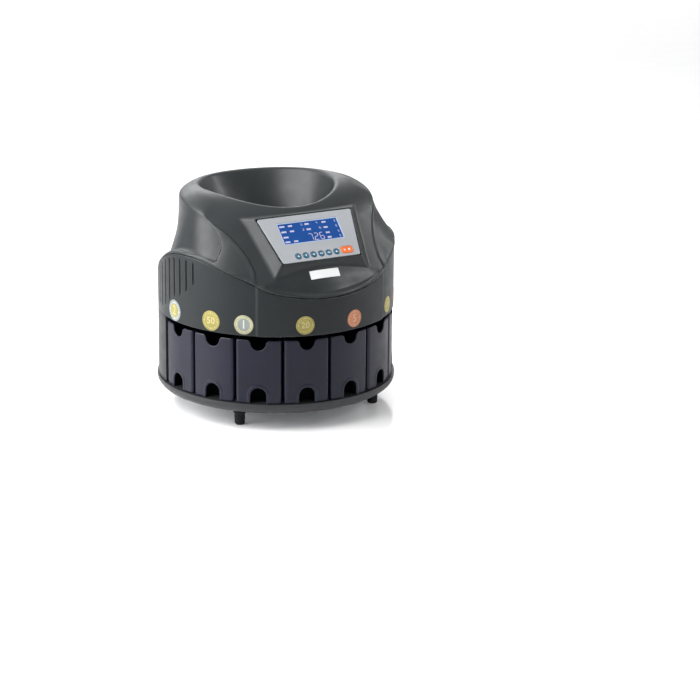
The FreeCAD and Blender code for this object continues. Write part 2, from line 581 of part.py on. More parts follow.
def slope(drop):
    """Cylinder whose upper face is the crowned front slope."""
    o = cyl(D.crown_radius - drop, 700.0)
    lean = math.radians(D.slope_tilt.v)
    c = Vector(0, D.slope_y.v, D.slope_z.v) - Vector(0, -math.sin(lean), math.cos(lean)) * D.crown_radius.v
    o.Placement = Placement(c, Rotation(Vector(1, 0, 0), D.slope_tilt.v)) * Placement(Vector(0, -350.0, 0), Rotation(Vector(0, 0, 1), Vector(0, 1, 0)))
    return o


def panel_at(x, y, z):
    return Placement(Vector(0, D.panel_y.v, D.panel_z.v), tilt) * Placement(Vector(x, y, z), Rotation())


def quad(th, bh, top, bottom, z_top, z_bottom=None):
    """Four corners of a trapezoid in the panel's frame."""
    zb = z_top if z_bottom is None else z_bottom
    pts = [Vector(-bh, bottom, zb), Vector(bh, bottom, zb), Vector(th, top, z_top), Vector(-th, top, z_top)]
    return Part.makePolygon(pts + [pts[0]])


def pod(inset, z_face, depth, grow):
    """Raised console that carries the control panel, with flared sides."""
    th, bh, hh = D.panel_top_half.v + 2.0 - inset, D.panel_bottom_half.v + 2.0 - inset, D.panel_height.v / 2 + 2.0 - inset
    top = quad(th, bh, hh, -hh, z_face)
    low = quad(th + grow, bh + grow, hh + grow, -hh - grow, z_face - depth)
    o = feature(Part.makeLoft([top, low], True, True), "pod")
    o.Placement = panel_at(0, 0, 0)
    return o


def funnel(r_top, r_bottom, z_top, z_bottom):
    z0, z1 = q(z_bottom), q(z_top)
    a = Part.Wire(Part.makeCircle(q(r_bottom).v, Vector(0, 0, z0.v)))
    b = Part.Wire(Part.makeCircle(q(r_bottom).v + 1.0, Vector(0, 2.0, z0.v + 51.0)))
    c = Part.Wire(Part.makeCircle(q(r_bottom).v + 8.0, Vector(0, 9.0, z0.v + 86.0)))
    d = Part.Wire(Part.makeCircle(q(r_top).v, Vector(0, D.bowl_offset.v, z1.v)))
    return feature(Part.makeLoft([a, b, c, d], True, False), "funnel")


rim = D.rim_z
outer = fuse(common(fuse(flare(0.0, rim), fill(0.0)), slope(0.0), above), common(pod(0.0, 1.2, 16.0, 14.0), above))
inner = common(fuse(flare(3.0, rim - 3.0), fill(3.0)), slope(3.0))
bowl_out = funnel(D.bowl_radius + 2.5, D.throat_radius + 2.5, rim + 2, D.throat_z)
bowl_in = funnel(D.bowl_radius, D.throat_radius, rim + 2.5, D.throat_z - 0.5)
flange = common(feature(seam_solid(D.flange_inner.v, D.flange_radius.v, D.seam.v, D.flange_thick.v), "flange"), slope(0.0))
recess = feature(Part.Face(quad(D.panel_top_half.v + 0.3, D.panel_bottom_half.v + 0.3, D.panel_height.v / 2 + 0.3,
                                -D.panel_height.v / 2 - 0.3, -0.7)).extrude(Vector(0, 0, 6.0)), "recess")
recess.Placement = panel_at(0, 0, 0)
window = feature(Part.Face(quad(D.panel_top_half.v - 4, D.panel_bottom_half.v - 3.2, D.panel_height.v / 2 - 4,
                                -D.panel_height.v / 2 + 2.4, -18.0)).extrude(Vector(0, 0, 30.0)), "window")
window.Placement = panel_at(0, 0, 0)
rear_flat = box(300.0, 60.0, 120.0, -150.0, 139.0, 120.0)
mid_gap = along_x(D.barrel_radius + 0.6, KN[1][0] - 0.4, KN[1][1] + 0.4)
hood_knuckles = []
for x0, x1 in (KN[0], KN[2]):
    web = box(x1 - x0, 7.3, 8.2, x0, 132.1, D.hinge_z - 0.1)
    hood_knuckles.append(fuse(along_x(D.barrel_radius, x0, x1), web))
hollow = cut(fuse(inner, pod(2.2, -3.0, 13.0, 11.0), window), bowl_out)
shell_top = cut(cut(outer, hollow), recess)
throat = common(bowl_out, cyl(110.0, 80.0, 0, 0, D.throat_z))
skin = cut(fuse(shell_top, flange), rear_flat)
skin = fuse(skin, hood_knuckles[0], hood_knuckles[1])
skin = cut(skin, mid_gap, along_x(D.pin_radius + 0.05, -45.0, 45.0))
cover = cut(fuse(skin, throat), bowl_in)
part("upper_cover", cover)
lean = Rotation(Vector(1, 0, 0), D.slope_tilt.v)
lab = box(D.label_width, D.label_height, 12.0)
lab.Placement = Placement(Vector(0, -128.0, 185.6), lean) * Placement(Vector(-D.label_width.v / 2, -D.label_height.v / 2, -6.0), Rotation())
part("blank_label", common(cut(slope(-0.35), slope(-0.05)), lab))

# -------------------------------------------------------------- control panel
h2 = D.panel_height / 2
plate = pad("panel", [(-D.panel_bottom_half, -h2), (D.panel_bottom_half, -h2), (D.panel_top_half, h2), (-D.panel_top_half, h2)], D.panel_thick)
pocket(plate, [(-D.lcd_width / 2, D.lcd_y - D.lcd_height / 2), (D.lcd_width / 2, D.lcd_y - D.lcd_height / 2),
               (D.lcd_width / 2, D.lcd_y + D.lcd_height / 2), (-D.lcd_width / 2, D.lcd_y + D.lcd_height / 2)], 6.0, reverse=True)
key_holes = [cyl(D.key_radius + D.key_play, 8.0, D.key_x + k * D.key_pitch, D.key_y, -3.0) for k in range(6)]
key_holes.append(box(D.start_width + 2 * D.key_play, D.start_height + 2 * D.key_play, 8.0, D.start_x - D.start_width / 2 - D.key_play,
                     D.key_y + 0.8 - D.start_height / 2 - D.key_play, -3.0))
BOSS = [(-44.8, 21.0), (44.8, 21.0), (-44.8, -14.3), (44.8, -14.3)]
panel = cut(fuse(plate, *[cyl(2.2, 4.4, x, y, -4.3) for x, y in BOSS]), *(key_holes + [cyl(1.05, 4.0, x, y, -4.8) for x, y in BOSS]))
panel.Placement = panel_at(0, 0, -0.7)
part("control_panel", panel)
lens = box(D.lcd_width - 0.4, D.lcd_height - 0.4, 1.5)
lens.Placement = panel_at(-D.lcd_width.v / 2 + 0.2, D.lcd_y.v - D.lcd_height.v / 2 + 0.2, -0.4)
part("display_lens", lens)
lcd = fuse(box(D.lcd_width + 3, D.lcd_height + 6, 4.2, 0, 0, 0), box(D.lcd_width - 0.4, D.lcd_height - 0.4, 4.6, 1.7, 3.2, 0))
lcd.Placement = panel_at(-D.lcd_width.v / 2 - 1.5, D.lcd_y.v - D.lcd_height.v / 2 - 3, -5.0)
part("display_module", lcd)
taps = [box(5.0, 5.0, 2.2, D.key_x + k * D.key_pitch - 2.5, D.key_y - 2.5, 1.5) for k in range(6)] + [box(5.0, 5.0, 2.2, D.start_x - 2.5, D.key_y - 1.7, 1.5)]
board = cut(fuse(box(96.0, 54.5, 1.6, -48.0, -29.5, 0), *taps), *[cyl(1.25, 4.0, x, y, -1.0) for x, y in BOSS])
board.Placement = panel_at(0, 0, -6.6)
part("display_board", board)
posts = []
for x, y in BOSS:
    s = fuse(cyl(1.0, 5.0), cyl(2.0, 1.3, 0, 0, -1.3))
    s.Placement = panel_at(x, y, -6.6)
    posts.append(s)
part("display_screws", group(*posts))
for k in range(6):
    cap = fuse(cyl(D.key_radius, 2.6 + D.key_proud), cyl(D.key_radius + 0.7, 1.0))
    cap.Placement = panel_at(D.key_x.v + k * D.key_pitch.v, D.key_y.v, -1.9)
    part("panel_key_%d" % (k + 1), cap)
start = fuse(box(D.start_width, D.start_height, 2.6 + D.key_proud), box(D.start_width + 1.4, D.start_height + 1.4, 1.0, -0.7, -0.7, 0))
start.Placement = panel_at(D.start_x.v - D.start_width.v / 2, D.key_y.v + 0.8 - D.start_height.v / 2, -1.9)
part("start_key", start)

# ------------------------------------------------------------------ stickers
ANG = [-84.0, -59.0, -42.0, -13.0, 13.0, 42.0, 59.0, 84.0]


def sticker(i, thick):
    r0 = D.drum_radius + D.front_proud if abs(ANG[i]) < D.front_half.v else D.drum_radius
    disc = cyl(COINS[i] / 2, 8.0)
    disc.Placement = Placement(Vector(0, 0, D.sticker_z.v), RZ(ANG[i])) * Placement(Vector(0, -r0.v + 3.0, 0), Rotation(Vector(1, 0, 0), 90))
    skin = tube(r0 + thick, r0 + D.fit_gap, 60.0, D.sticker_z - 30.0)
    return common(disc, skin)


part("stickers_two_tone", group(sticker(0, D.sticker_thick), sticker(2, D.sticker_thick)))
part("stickers_brass", group(sticker(1, D.sticker_thick), sticker(3, D.sticker_thick), sticker(5, D.sticker_thick)))
part("stickers_copper", group(sticker(4, D.sticker_thick), sticker(6, D.sticker_thick), sticker(7, D.sticker_thick)))

# ---------------------------------------------------------------- write parts
doc.recompute()
bad = []
for o in doc.Objects:
    if "Invalid" in o.State or "Error" in o.State:
        bad.append("%s (%s) %s %s" % (o.Name, o.Label, o.State, o.getStatusString()))
for label, o in PARTS.items():
    s = o.Shape
    if s.isNull() or not s.isValid() or not s.Solids:
        bad.append("%s: null %s valid %s solids %d" % (label, s.isNull(), (not s.isNull()) and s.isValid(), len(s.Solids)))
if bad:
    raise SystemExit("failed objects:\n" + "\n".join(bad))
os.makedirs("parts", exist_ok=True)
for old in os.listdir("parts"):
    if old.endswith(".step"):
        os.remove(os.path.join("parts", old))
for label, o in PARTS.items():
    o.Shape.exportStep("parts/%s.step" % label)
    b = o.Shape.BoundBox
    print("%-18s solids %d vol %.0f  x %.1f %.1f y %.1f %.1f z %.1f %.1f" % (label, len(o.Shape.Solids), o.Shape.Volume, b.XMin, b.XMax, b.YMin, b.YMax, b.ZMin, b.ZMax))
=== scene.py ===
# Looks of the desktop coin sorting machine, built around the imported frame.
import json
import math

import bmesh
import bpy
import numpy as np
from mathutils import Matrix, Vector


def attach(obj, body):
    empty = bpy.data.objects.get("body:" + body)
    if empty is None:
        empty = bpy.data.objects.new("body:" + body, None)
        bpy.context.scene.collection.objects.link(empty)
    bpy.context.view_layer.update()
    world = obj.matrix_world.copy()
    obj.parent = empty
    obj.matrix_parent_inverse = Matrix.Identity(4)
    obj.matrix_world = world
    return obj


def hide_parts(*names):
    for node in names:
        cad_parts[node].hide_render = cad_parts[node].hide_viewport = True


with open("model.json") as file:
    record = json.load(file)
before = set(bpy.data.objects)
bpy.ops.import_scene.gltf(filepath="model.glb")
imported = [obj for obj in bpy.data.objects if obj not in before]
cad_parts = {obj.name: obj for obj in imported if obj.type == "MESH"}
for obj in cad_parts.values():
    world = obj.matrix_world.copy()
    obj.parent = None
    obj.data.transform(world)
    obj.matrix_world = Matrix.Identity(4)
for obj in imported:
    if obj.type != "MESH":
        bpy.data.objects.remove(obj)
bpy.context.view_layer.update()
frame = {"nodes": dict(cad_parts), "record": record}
nodes = frame["nodes"]

# ------------------------------------------------------------------ mesh tools
def link(obj):
    bpy.context.scene.collection.objects.link(obj)
    return obj


def array_mesh(name, verts, faces, normals=None, smooth=True, attrs=None):
    """Mesh from arrays in millimetres; faces is an (n, 3) or (n, 4) index array."""
    me = bpy.data.meshes.new(name)
    verts = np.asarray(verts, np.float32) / 1000.0
    faces = np.asarray(faces, np.int32)
    k = faces.shape[1]
    me.vertices.add(len(verts))
    me.vertices.foreach_set("co", verts.ravel())
    me.loops.add(faces.size)
    me.loops.foreach_set("vertex_index", faces.ravel())
    me.polygons.add(len(faces))
    me.polygons.foreach_set("loop_start", np.arange(0, faces.size, k, dtype=np.int32))
    me.update(calc_edges=True)
    me.validate()
    me.polygons.foreach_set("use_smooth", np.full(len(me.polygons), smooth))
    for key, values in (attrs or {}).items():
        a = me.attributes.new(key, "FLOAT", "POINT")
        a.data.foreach_set("value", np.asarray(values, np.float32))
    if normals is not None:
        me.normals_split_custom_set_from_vertices(np.asarray(normals, np.float32))
    return link(bpy.data.objects.new(name, me))


def pydata(name, verts, faces, smooth=True):
    """Mesh from lists in millimetres with faces of any size."""
    me = bpy.data.meshes.new(name)
    me.from_pydata([tuple(c / 1000.0 for c in v) for v in verts], [], faces)
    me.update()
    me.validate()
    for p in me.polygons:
        p.use_smooth = smooth
    return link(bpy.data.objects.new(name, me))


def sharpen(obj, degrees=38.0):
    """Marks hard edges sharp so that smooth shading keeps them."""
    me = obj.data
    bm = bmesh.new()
    bm.from_mesh(me)
    lim = math.radians(degrees)
    for e in bm.edges:
        e.smooth = not (len(e.link_faces) == 2 and e.calc_face_angle(0.0) > lim)
    bm.to_mesh(me)
    bm.free()
    return obj


def lathe(name, profile, segments=96, centre=(0.0, 0.0), closed=True):
    """Solid of revolution about a vertical axis; profile is (radius, height) from axis to axis or a closed ring."""
    verts, faces = [], []
    rows = []
    for r, z in profile:
        if r < 1e-6:
            rows.append([len(verts)])
            verts.append((centre[0], centre[1], z))
        else:
            rows.append(list(range(len(verts), len(verts) + segments)))
            for i in range(segments):
                a = 2 * math.pi * i / segments
                verts.append((centre[0] + r * math.cos(a), centre[1] + r * math.sin(a), z))
    pairs = list(zip(rows, rows[1:]))
    if closed and len(rows[0]) > 1 and len(rows[-1]) > 1:
        pairs.append((rows[-1], rows[0]))
    for lo, hi in pairs:
        for i in range(segments):
            j = (i + 1) % segments
            if len(lo) == 1 and len(hi) == 1:
                continue
            if len(lo) == 1:
                faces.append((lo[0], hi[j], hi[i]))
            elif len(hi) == 1:
                faces.append((lo[i], lo[j], hi[0]))
            else:
                faces.append((lo[i], lo[j], hi[j], hi[i]))
    o = pydata(name, verts, faces)
    fix_normals(o)
    return o


def fix_normals(o):
    bm = bmesh.new()
    bm.from_mesh(o.data)
    bmesh.ops.recalc_face_normals(bm, faces=bm.faces)
    bm.to_mesh(o.data)
    bm.free()
    return o


def round_profile(points, radii, n=5):
    """Rounds the corners of an open polyline."""
    out = [points[0]]
    for i in range(1, len(points) - 1):
        p, a, b = np.array(points[i], float), np.array(points[i - 1], float), np.array(points[i + 1], float)
        r = radii.get(i, 0.0)
        if r <= 0:
            out.append(tuple(p))
            continue
        u, v = (a - p), (b - p)
        lu, lv = np.linalg.norm(u), np.linalg.norm(v)
        u, v = u / lu, v / lv
        ang = math.acos(max(-1, min(1, float(u @ v))))
        d = min(r / math.tan(ang / 2), 0.49 * lu, 0.49 * lv)
        rr = d * math.tan(ang / 2)
        c = p + (u + v) / np.linalg.norm(u + v) * (rr / math.sin(ang / 2))
        s, e = p + u * d, p + v * d
        a0, a1 = math.atan2(*(s - c)[::-1]), math.atan2(*(e - c)[::-1])
        da = (a1 - a0 + math.pi) % (2 * math.pi) - math.pi
        for k in range(n + 1):
            t = a0 + da * k / n
            out.append((c[0] + rr * math.cos(t), c[1] + rr * math.sin(t)))
    out.append(points[-1])
    return out


# -------------------------------------------------------- implicit solid mesher
def smax(a, b, k):
    t = np.maximum(k - np.abs(a - b), 0.0) / k
    return np.maximum(a, b) + t * t * k * 0.25


def smin(a, b, k):
    return -smax(-a, -b, k)


def surface(name, f, lo, hi, step, relax=2):
    """Mesh of the solid f < 0: dual cells on a grid, vertices then moved onto the true surface."""
    lo, hi = np.asarray(lo, float), np.asarray(hi, float)
    n = np.ceil((hi - lo) / step).astype(int) + 1
    ax = [lo[i] + step * np.arange(n[i]) for i in range(3)]
    gx, gy = np.meshgrid(ax[0], ax[1], indexing="ij")
    val = np.empty(n, np.float32)
    for k in range(n[2]):
        val[:, :, k] = f(gx, gy, np.full_like(gx, ax[2][k]))
    ins = val < 0
    total = np.zeros(n - 1, np.int8)
    for i in (0, 1):
        for j in (0, 1):
            for k in (0, 1):
                total += ins[i:n[0] - 1 + i, j:n[1] - 1 + j, k:n[2] - 1 + k]
    cells = np.argwhere((total > 0) & (total < 8))
    index = np.full(n - 1, -1, np.int64)
    index[tuple(cells.T)] = np.arange(len(cells))
    acc, num = np.zeros((len(cells), 3)), np.zeros(len(cells))
    corners = [np.array((i, j, k)) for i in (0, 1) for j in (0, 1) for k in (0, 1)]
    for a in corners:
        for d in range(3):
            if a[d]:
                continue
            b = a.copy()
            b[d] = 1
            va, vb = val[tuple((cells + a).T)], val[tuple((cells + b).T)]
            cross = (va < 0) != (vb < 0)
            t = np.where(cross, va / np.where(cross, va - vb, 1), 0)
            p = a[None, :] + t[:, None] * (b - a)[None, :]
            acc += np.where(cross[:, None], p, 0)
            num += cross
    pos = lo + step * (cells + acc / num[:, None])
    quads = []
    for d in range(3):
        e, g = (d + 1) % 3, (d + 2) % 3
        sl0 = [slice(None)] * 3
        sl1 = [slice(None)] * 3
        sl0[d], sl1[d] = slice(0, n[d] - 1), slice(1, n[d])
        a, b = ins[tuple(sl0)], ins[tuple(sl1)]
        ed = np.argwhere(a != b)
        ed = ed[(ed[:, e] > 0) & (ed[:, e] < n[e] - 1) & (ed[:, g] > 0) & (ed[:, g] < n[g] - 1)]
        first = a[tuple(ed.T)]
        ids = []
        for de, dg in ((-1, -1), (0, -1), (0, 0), (-1, 0)):
            c = ed.copy()
            c[:, e] += de
            c[:, g] += dg
            ids.append(index[tuple(c.T)])
        qd = np.stack(ids, 1)
        qd[~first] = qd[~first][:, ::-1]
        quads.append(qd)
    quads = np.concatenate(quads)

    def grad(p, eps=0.12):
        out = np.empty_like(p)
        for d in range(3):
            q0, q1 = p.copy(), p.copy()
            q0[:, d] -= eps
            q1[:, d] += eps
            out[:, d] = (f(*q1.T) - f(*q0.T)) / (2 * eps)
        return out

    def settle(p, times):
        for _ in range(times):
            v, g = f(*p.T), grad(p)
            move = -(v / np.maximum((g * g).sum(1), 1e-6))[:, None] * g
            size = np.linalg.norm(move, axis=1)
            p = p + move * np.minimum(1.0, 0.5 * step / np.maximum(size, 1e-9))[:, None]
        return p

    pos = settle(pos, 3)
    for _ in range(relax):
        tot, cnt = np.zeros_like(pos), np.zeros(len(pos))
        for i in range(4):
            a, b = quads[:, i], quads[:, (i + 1) % 4]
            for s, t in ((a, b), (b, a)):
                for d in range(3):
                    tot[:, d] += np.bincount(s, weights=pos[t, d], minlength=len(pos))
                cnt += np.bincount(s, minlength=len(pos))
        g = grad(pos)
        g /= np.maximum(np.linalg.norm(g, axis=1), 1e-9)[:, None]
        move = tot / np.maximum(cnt, 1)[:, None] - pos
        move -= (move * g).sum(1)[:, None] * g
        pos = settle(pos + 0.5 * move, 2)
    g = grad(pos)
    g /= np.maximum(np.linalg.norm(g, axis=1), 1e-9)[:, None]
    # convex edges, for wear
    bend, cnt = np.zeros(len(pos)), np.zeros(len(pos))
    for i in range(4):
        a, b = quads[:, i], quads[:, (i + 1) % 4]
        dp, dn = pos[b] - pos[a], g[b] - g[a]
        c = (dp * dn).sum(1) / np.maximum((dp * dp).sum(1), 1e-4)
        for s in (a, b):
            bend += np.bincount(s, weights=c, minlength=len(pos))
            cnt += np.bincount(s, minlength=len(pos))
    wear = np.clip(bend / np.maximum(cnt, 1) * 1.6, 0, 1)
    return array_mesh(name, pos, quads, normals=g, attrs={"edge_wear": wear})


# ---------------------------------------------------------- shared dimensions
DRUM, RIM_Z, FLANGE_R = 143.0, 264.5, 142.5
SEAM = [(0, 159.0), (10, 160.0), (20, 163.4), (28, 168.2), (34, 173.6), (38, 178.6), (44, 184.6), (50, 189.4),
        (55, 193.2), (61, 197.3), (67, 200.2), (73, 201.0), (79, 200.4), (85, 198.2), (91, 193.6), (96, 187.8),
        (101, 181.2), (106, 174.6), (112, 167.2), (117, 161.8), (123, 157.2), (130, 154.4), (140, 152.9), (155, 152.5)]


def spline_table(points, grid):
    """Smooth curve through points, sampled on grid."""
    x = np.array([p[0] for p in points], float)
    y = np.array([p[1] for p in points], float)
    m = np.gradient(y, x)
    i = np.clip(np.searchsorted(x, grid) - 1, 0, len(x) - 2)
    h = x[i + 1] - x[i]
    t = (grid - x[i]) / h
    return ((2 * t ** 3 - 3 * t ** 2 + 1) * y[i] + (t ** 3 - 2 * t ** 2 + t) * h * m[i]
            + (-2 * t ** 3 + 3 * t ** 2) * y[i + 1] + (t ** 3 - t ** 2) * h * m[i + 1])


ANG_GRID = np.arange(0, 180.01, 0.25)
SEAM_FULL = [(-a, z) for a, z in reversed(SEAM[1:])] + SEAM + [(180, 152.5), (205, 152.5)]
SEAM_TAB = spline_table(SEAM_FULL, ANG_GRID)
# a light running average keeps the seam's curve even
ker = np.array([1, 4, 6, 4, 1]) / 16.0
for _ in range(12):
    SEAM_TAB = np.convolve(np.pad(SEAM_TAB, 2, mode="reflect"), ker, mode="valid")


def seam_z(deg):
    return np.interp(np.abs(deg), ANG_GRID, SEAM_TAB)


PY, PZ, TILT = -96.15, 221.6, math.radians(42.0)
CT, ST = math.cos(TILT), math.sin(TILT)


def to_panel(x, y, z):
    dy, dz = y - PY, z - PZ
    return x, dy * CT + dz * ST, -dy * ST + dz * CT


def slope_d(x, y, z, drop=0.0):
    lean = math.radians(45.8)
    c, s = math.cos(lean), math.sin(lean)
    d = (y + 72.3) * -s + (z - 243.1) * c + 300.0
    return np.sqrt(d * d + x * x) - (300.0 - drop)


BOWL = [(78.0, 54.9, -2.0), (129.0, 56.0, 0.0), (180.0, 57.0, 2.0), (215.0, 63.4, 9.4), (267.0, 84.8, 26.4), (292.0, 97.0, 35.0)]
BOWL_Z = np.arange(100.0, 280.0, 0.5)
BOWL_R = spline_table([(q[0], q[1]) for q in BOWL], BOWL_Z)
BOWL_C = spline_table([(q[0], q[2]) for q in BOWL], BOWL_Z)
BOWL_K = 1.0 / np.sqrt(1.0 + (np.gradient(BOWL_R, BOWL_Z) + 0.5 * np.gradient(BOWL_C, BOWL_Z)) ** 2)


def bowl_d(x, y, z):
    """Hopper bowl: circles that grow and shift to the rear towards the rim."""
    r = np.interp(z, BOWL_Z, BOWL_R)
    c = np.interp(z, BOWL_Z, BOWL_C)
    return (np.sqrt(x * x + (y - c) ** 2) - r) * np.interp(z, BOWL_Z, BOWL_K)


def ease(t):
    t = np.clip(t, 0, 1)
    return t * t * (3 - 2 * t)


# half width of the front body, measured forward from the axis
FRONT = [(0.0, 84.0), (20.0, 88.0), (40.0, 91.0), (55.0, 91.5), (65.0, 90.5), (76.0, 87.2), (91.0, 83.2), (106.0, 81.6), (116.0, 82.2), (130.0, 83.4), (150.0, 85.0)]
FRONT_S = np.arange(0.0, 150.0, 0.5)
FRONT_W = spline_table(FRONT, FRONT_S)
FRONT_K = 1.0 / np.sqrt(1.0 + np.gradient(FRONT_W, FRONT_S) ** 2)


def cover_sides(x, y, z):
    """Sides, top and corner softness of the hood's body, before they are joined."""
    r = np.sqrt(x * x + y * y)
    deg = np.degrees(np.abs(np.arctan2(x, -y)))
    # the tower sweeps out to the drum's edge all along the seam
    foot = seam_z(deg) + 4.3
    spread = 26.4 - 10.2 * ease((deg - 60.0) / 24.0) * ease((165.0 - deg) / 35.0)
    height = 26.0 + 16.0 * ease((deg - 54.0) / 30.0)
    e2 = (0.25 + 0.2 * ease((deg - 60.0) / 40.0)) ** 2
    v = np.minimum(1.0 - (z - foot) / height, 1.0)
    q = np.sqrt(v * v + e2)
    full = 1.0 + np.sqrt(1.0 + e2)
    reach = 116.0 + spread * (v + q) / full - 1.4 * ease((z - 243.0) / 32.0)
    lean = spread * (1.0 + v / q) / (full * height)
    tower = (r - reach) / np.sqrt(1.0 + lean * lean)
    n = slope_d(x, y, z)
    side = (np.abs(x) - np.interp(-y, FRONT_S, FRONT_W)) * np.interp(-y, FRONT_S, FRONT_K)
    nose = np.maximum(smax(r - 142.6, side, 2.0), y + 40.0)
    d = smin(tower, nose, 9.0)
    # the slope runs softly into the rim, crisply into the side ridges, and melts into the nose
    top = smax(z - RIM_Z, n, 32.0)
    k = 0.8 + 24.0 * ease((z - 245.0) / 19.0) + 23.0 * ease((35.0 - deg) / 24.0) * ease((222.0 - z) / 20.0)
    return d, top, k, deg


def cover_body(x, y, z):
    d, top, k, deg = cover_sides(x, y, z)
    return smax(d, top, k)


def cover_f(x, y, z):
    r = np.sqrt(x * x + y * y)
    deg = np.degrees(np.arctan2(x, -y))
    h = seam_z(deg)
    d, top, k, ad = cover_sides(x, y, z)
    body = smax(d, top, k)
    low = (h + 0.5 - z) * 0.9
    bowl = bowl_d(x, y, z)
    px, py, pz = to_panel(x, y, z)
    # flange along the seam, with a cove up into the flare
    fl = smax(smax(r - FLANGE_R, (z - (h + 4.0)) * 0.9, 2.6), 119.5 - r, 2.0)
    fl = np.maximum(fl, slope_d(x, y, z))
    skin = smin(body, fl, 4.0)
    skin = np.maximum(skin, slope_d(x, y, z))
    # raised bead along each side ridge
    bead = np.sqrt(d * d + top * top) - 1.5 * ease((ad - 34.0) / 4.0) * ease((70.0 - ad) / 14.0)
    skin = smin(skin, bead, 0.9)
    # console that carries the panel
    ex, ey = 11.5 / 69.2, 68.2 / 69.2
    wall_s = ((np.abs(px) - 58.25) * ey - py * ex) * 0.752 + (pz - 1.2) * 0.659
    wall_b = (-py - 34.1) * 0.752 + (pz - 1.2) * 0.659
    wall_t = (py - 34.1) * 0.752 + (pz - 1.2) * 0.659
    pod = smax(smax(smax(wall_s, wall_b, 2.5), wall_t, 2.0), pz - 1.2, 1.6)
    pod = np.maximum(pod, -pz - 15.0)
    outer = smin(skin, pod, 1.8)
    outer = smax(outer, low, 1.2)
    # inside of the shell
    lip = 0.3 + 4.7 * ease((z - 215.0) / 30.0)
    inner = smax(np.minimum(body, pod) + 3.0, 2.8 - bowl, lip)
    solid = smax(outer, -bowl, lip)
    d = np.maximum(solid, -inner)
    d = np.minimum(d, np.maximum(fl, low))
    wall = np.maximum(np.maximum(np.abs(bowl - 1.4) - 1.4, 129.0 - z), z - 214.0)
    d = np.minimum(d, wall)
    # seat of the fascia and the opening behind it
    seat = np.maximum(np.maximum((np.abs(px) - 56.55) * ey - py * ex, np.abs(py) - 32.4), -0.75 - pz)
    d = smax(d, -seat, 0.7)
    groove = np.maximum(np.maximum((np.abs(px) - 57.25) * ey - py * ex, np.abs(py) - 33.1), -2.6 - pz)
    groove = np.maximum(groove, -np.maximum((np.abs(px) - 55.4) * ey - py * ex, np.abs(py) - 31.3))
    d = smax(d, -groove, 0.4)
    hole = np.maximum(np.maximum((np.abs(px) - 52.6) * ey - py * ex, np.abs(py + 0.8) - 28.8), np.abs(pz + 4.0) - 14.0)
    d = np.maximum(d, -np.maximum(hole, 2.8 - bowl))
    # flat back and hinge gaps
    d = smax(d, y - 139.0, 1.0)
    axis = np.sqrt((y - 140.0) ** 2 + (z - 152.8) ** 2)
    gap = np.maximum(axis - 5.2, np.abs(x) - 16.0)
    return np.maximum(d, -gap)


cover = surface("cover_shell", cover_f, (-146, -147, 126.5), (146, 142, 267.5), 1.35)
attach(cover, "cover")


def rides(obj, body, slot, *replaced):
    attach(obj, body)
    if replaced:
        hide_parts(*replaced)
    return obj


# ------------------------------------------------------------------- materials
MATS = {}


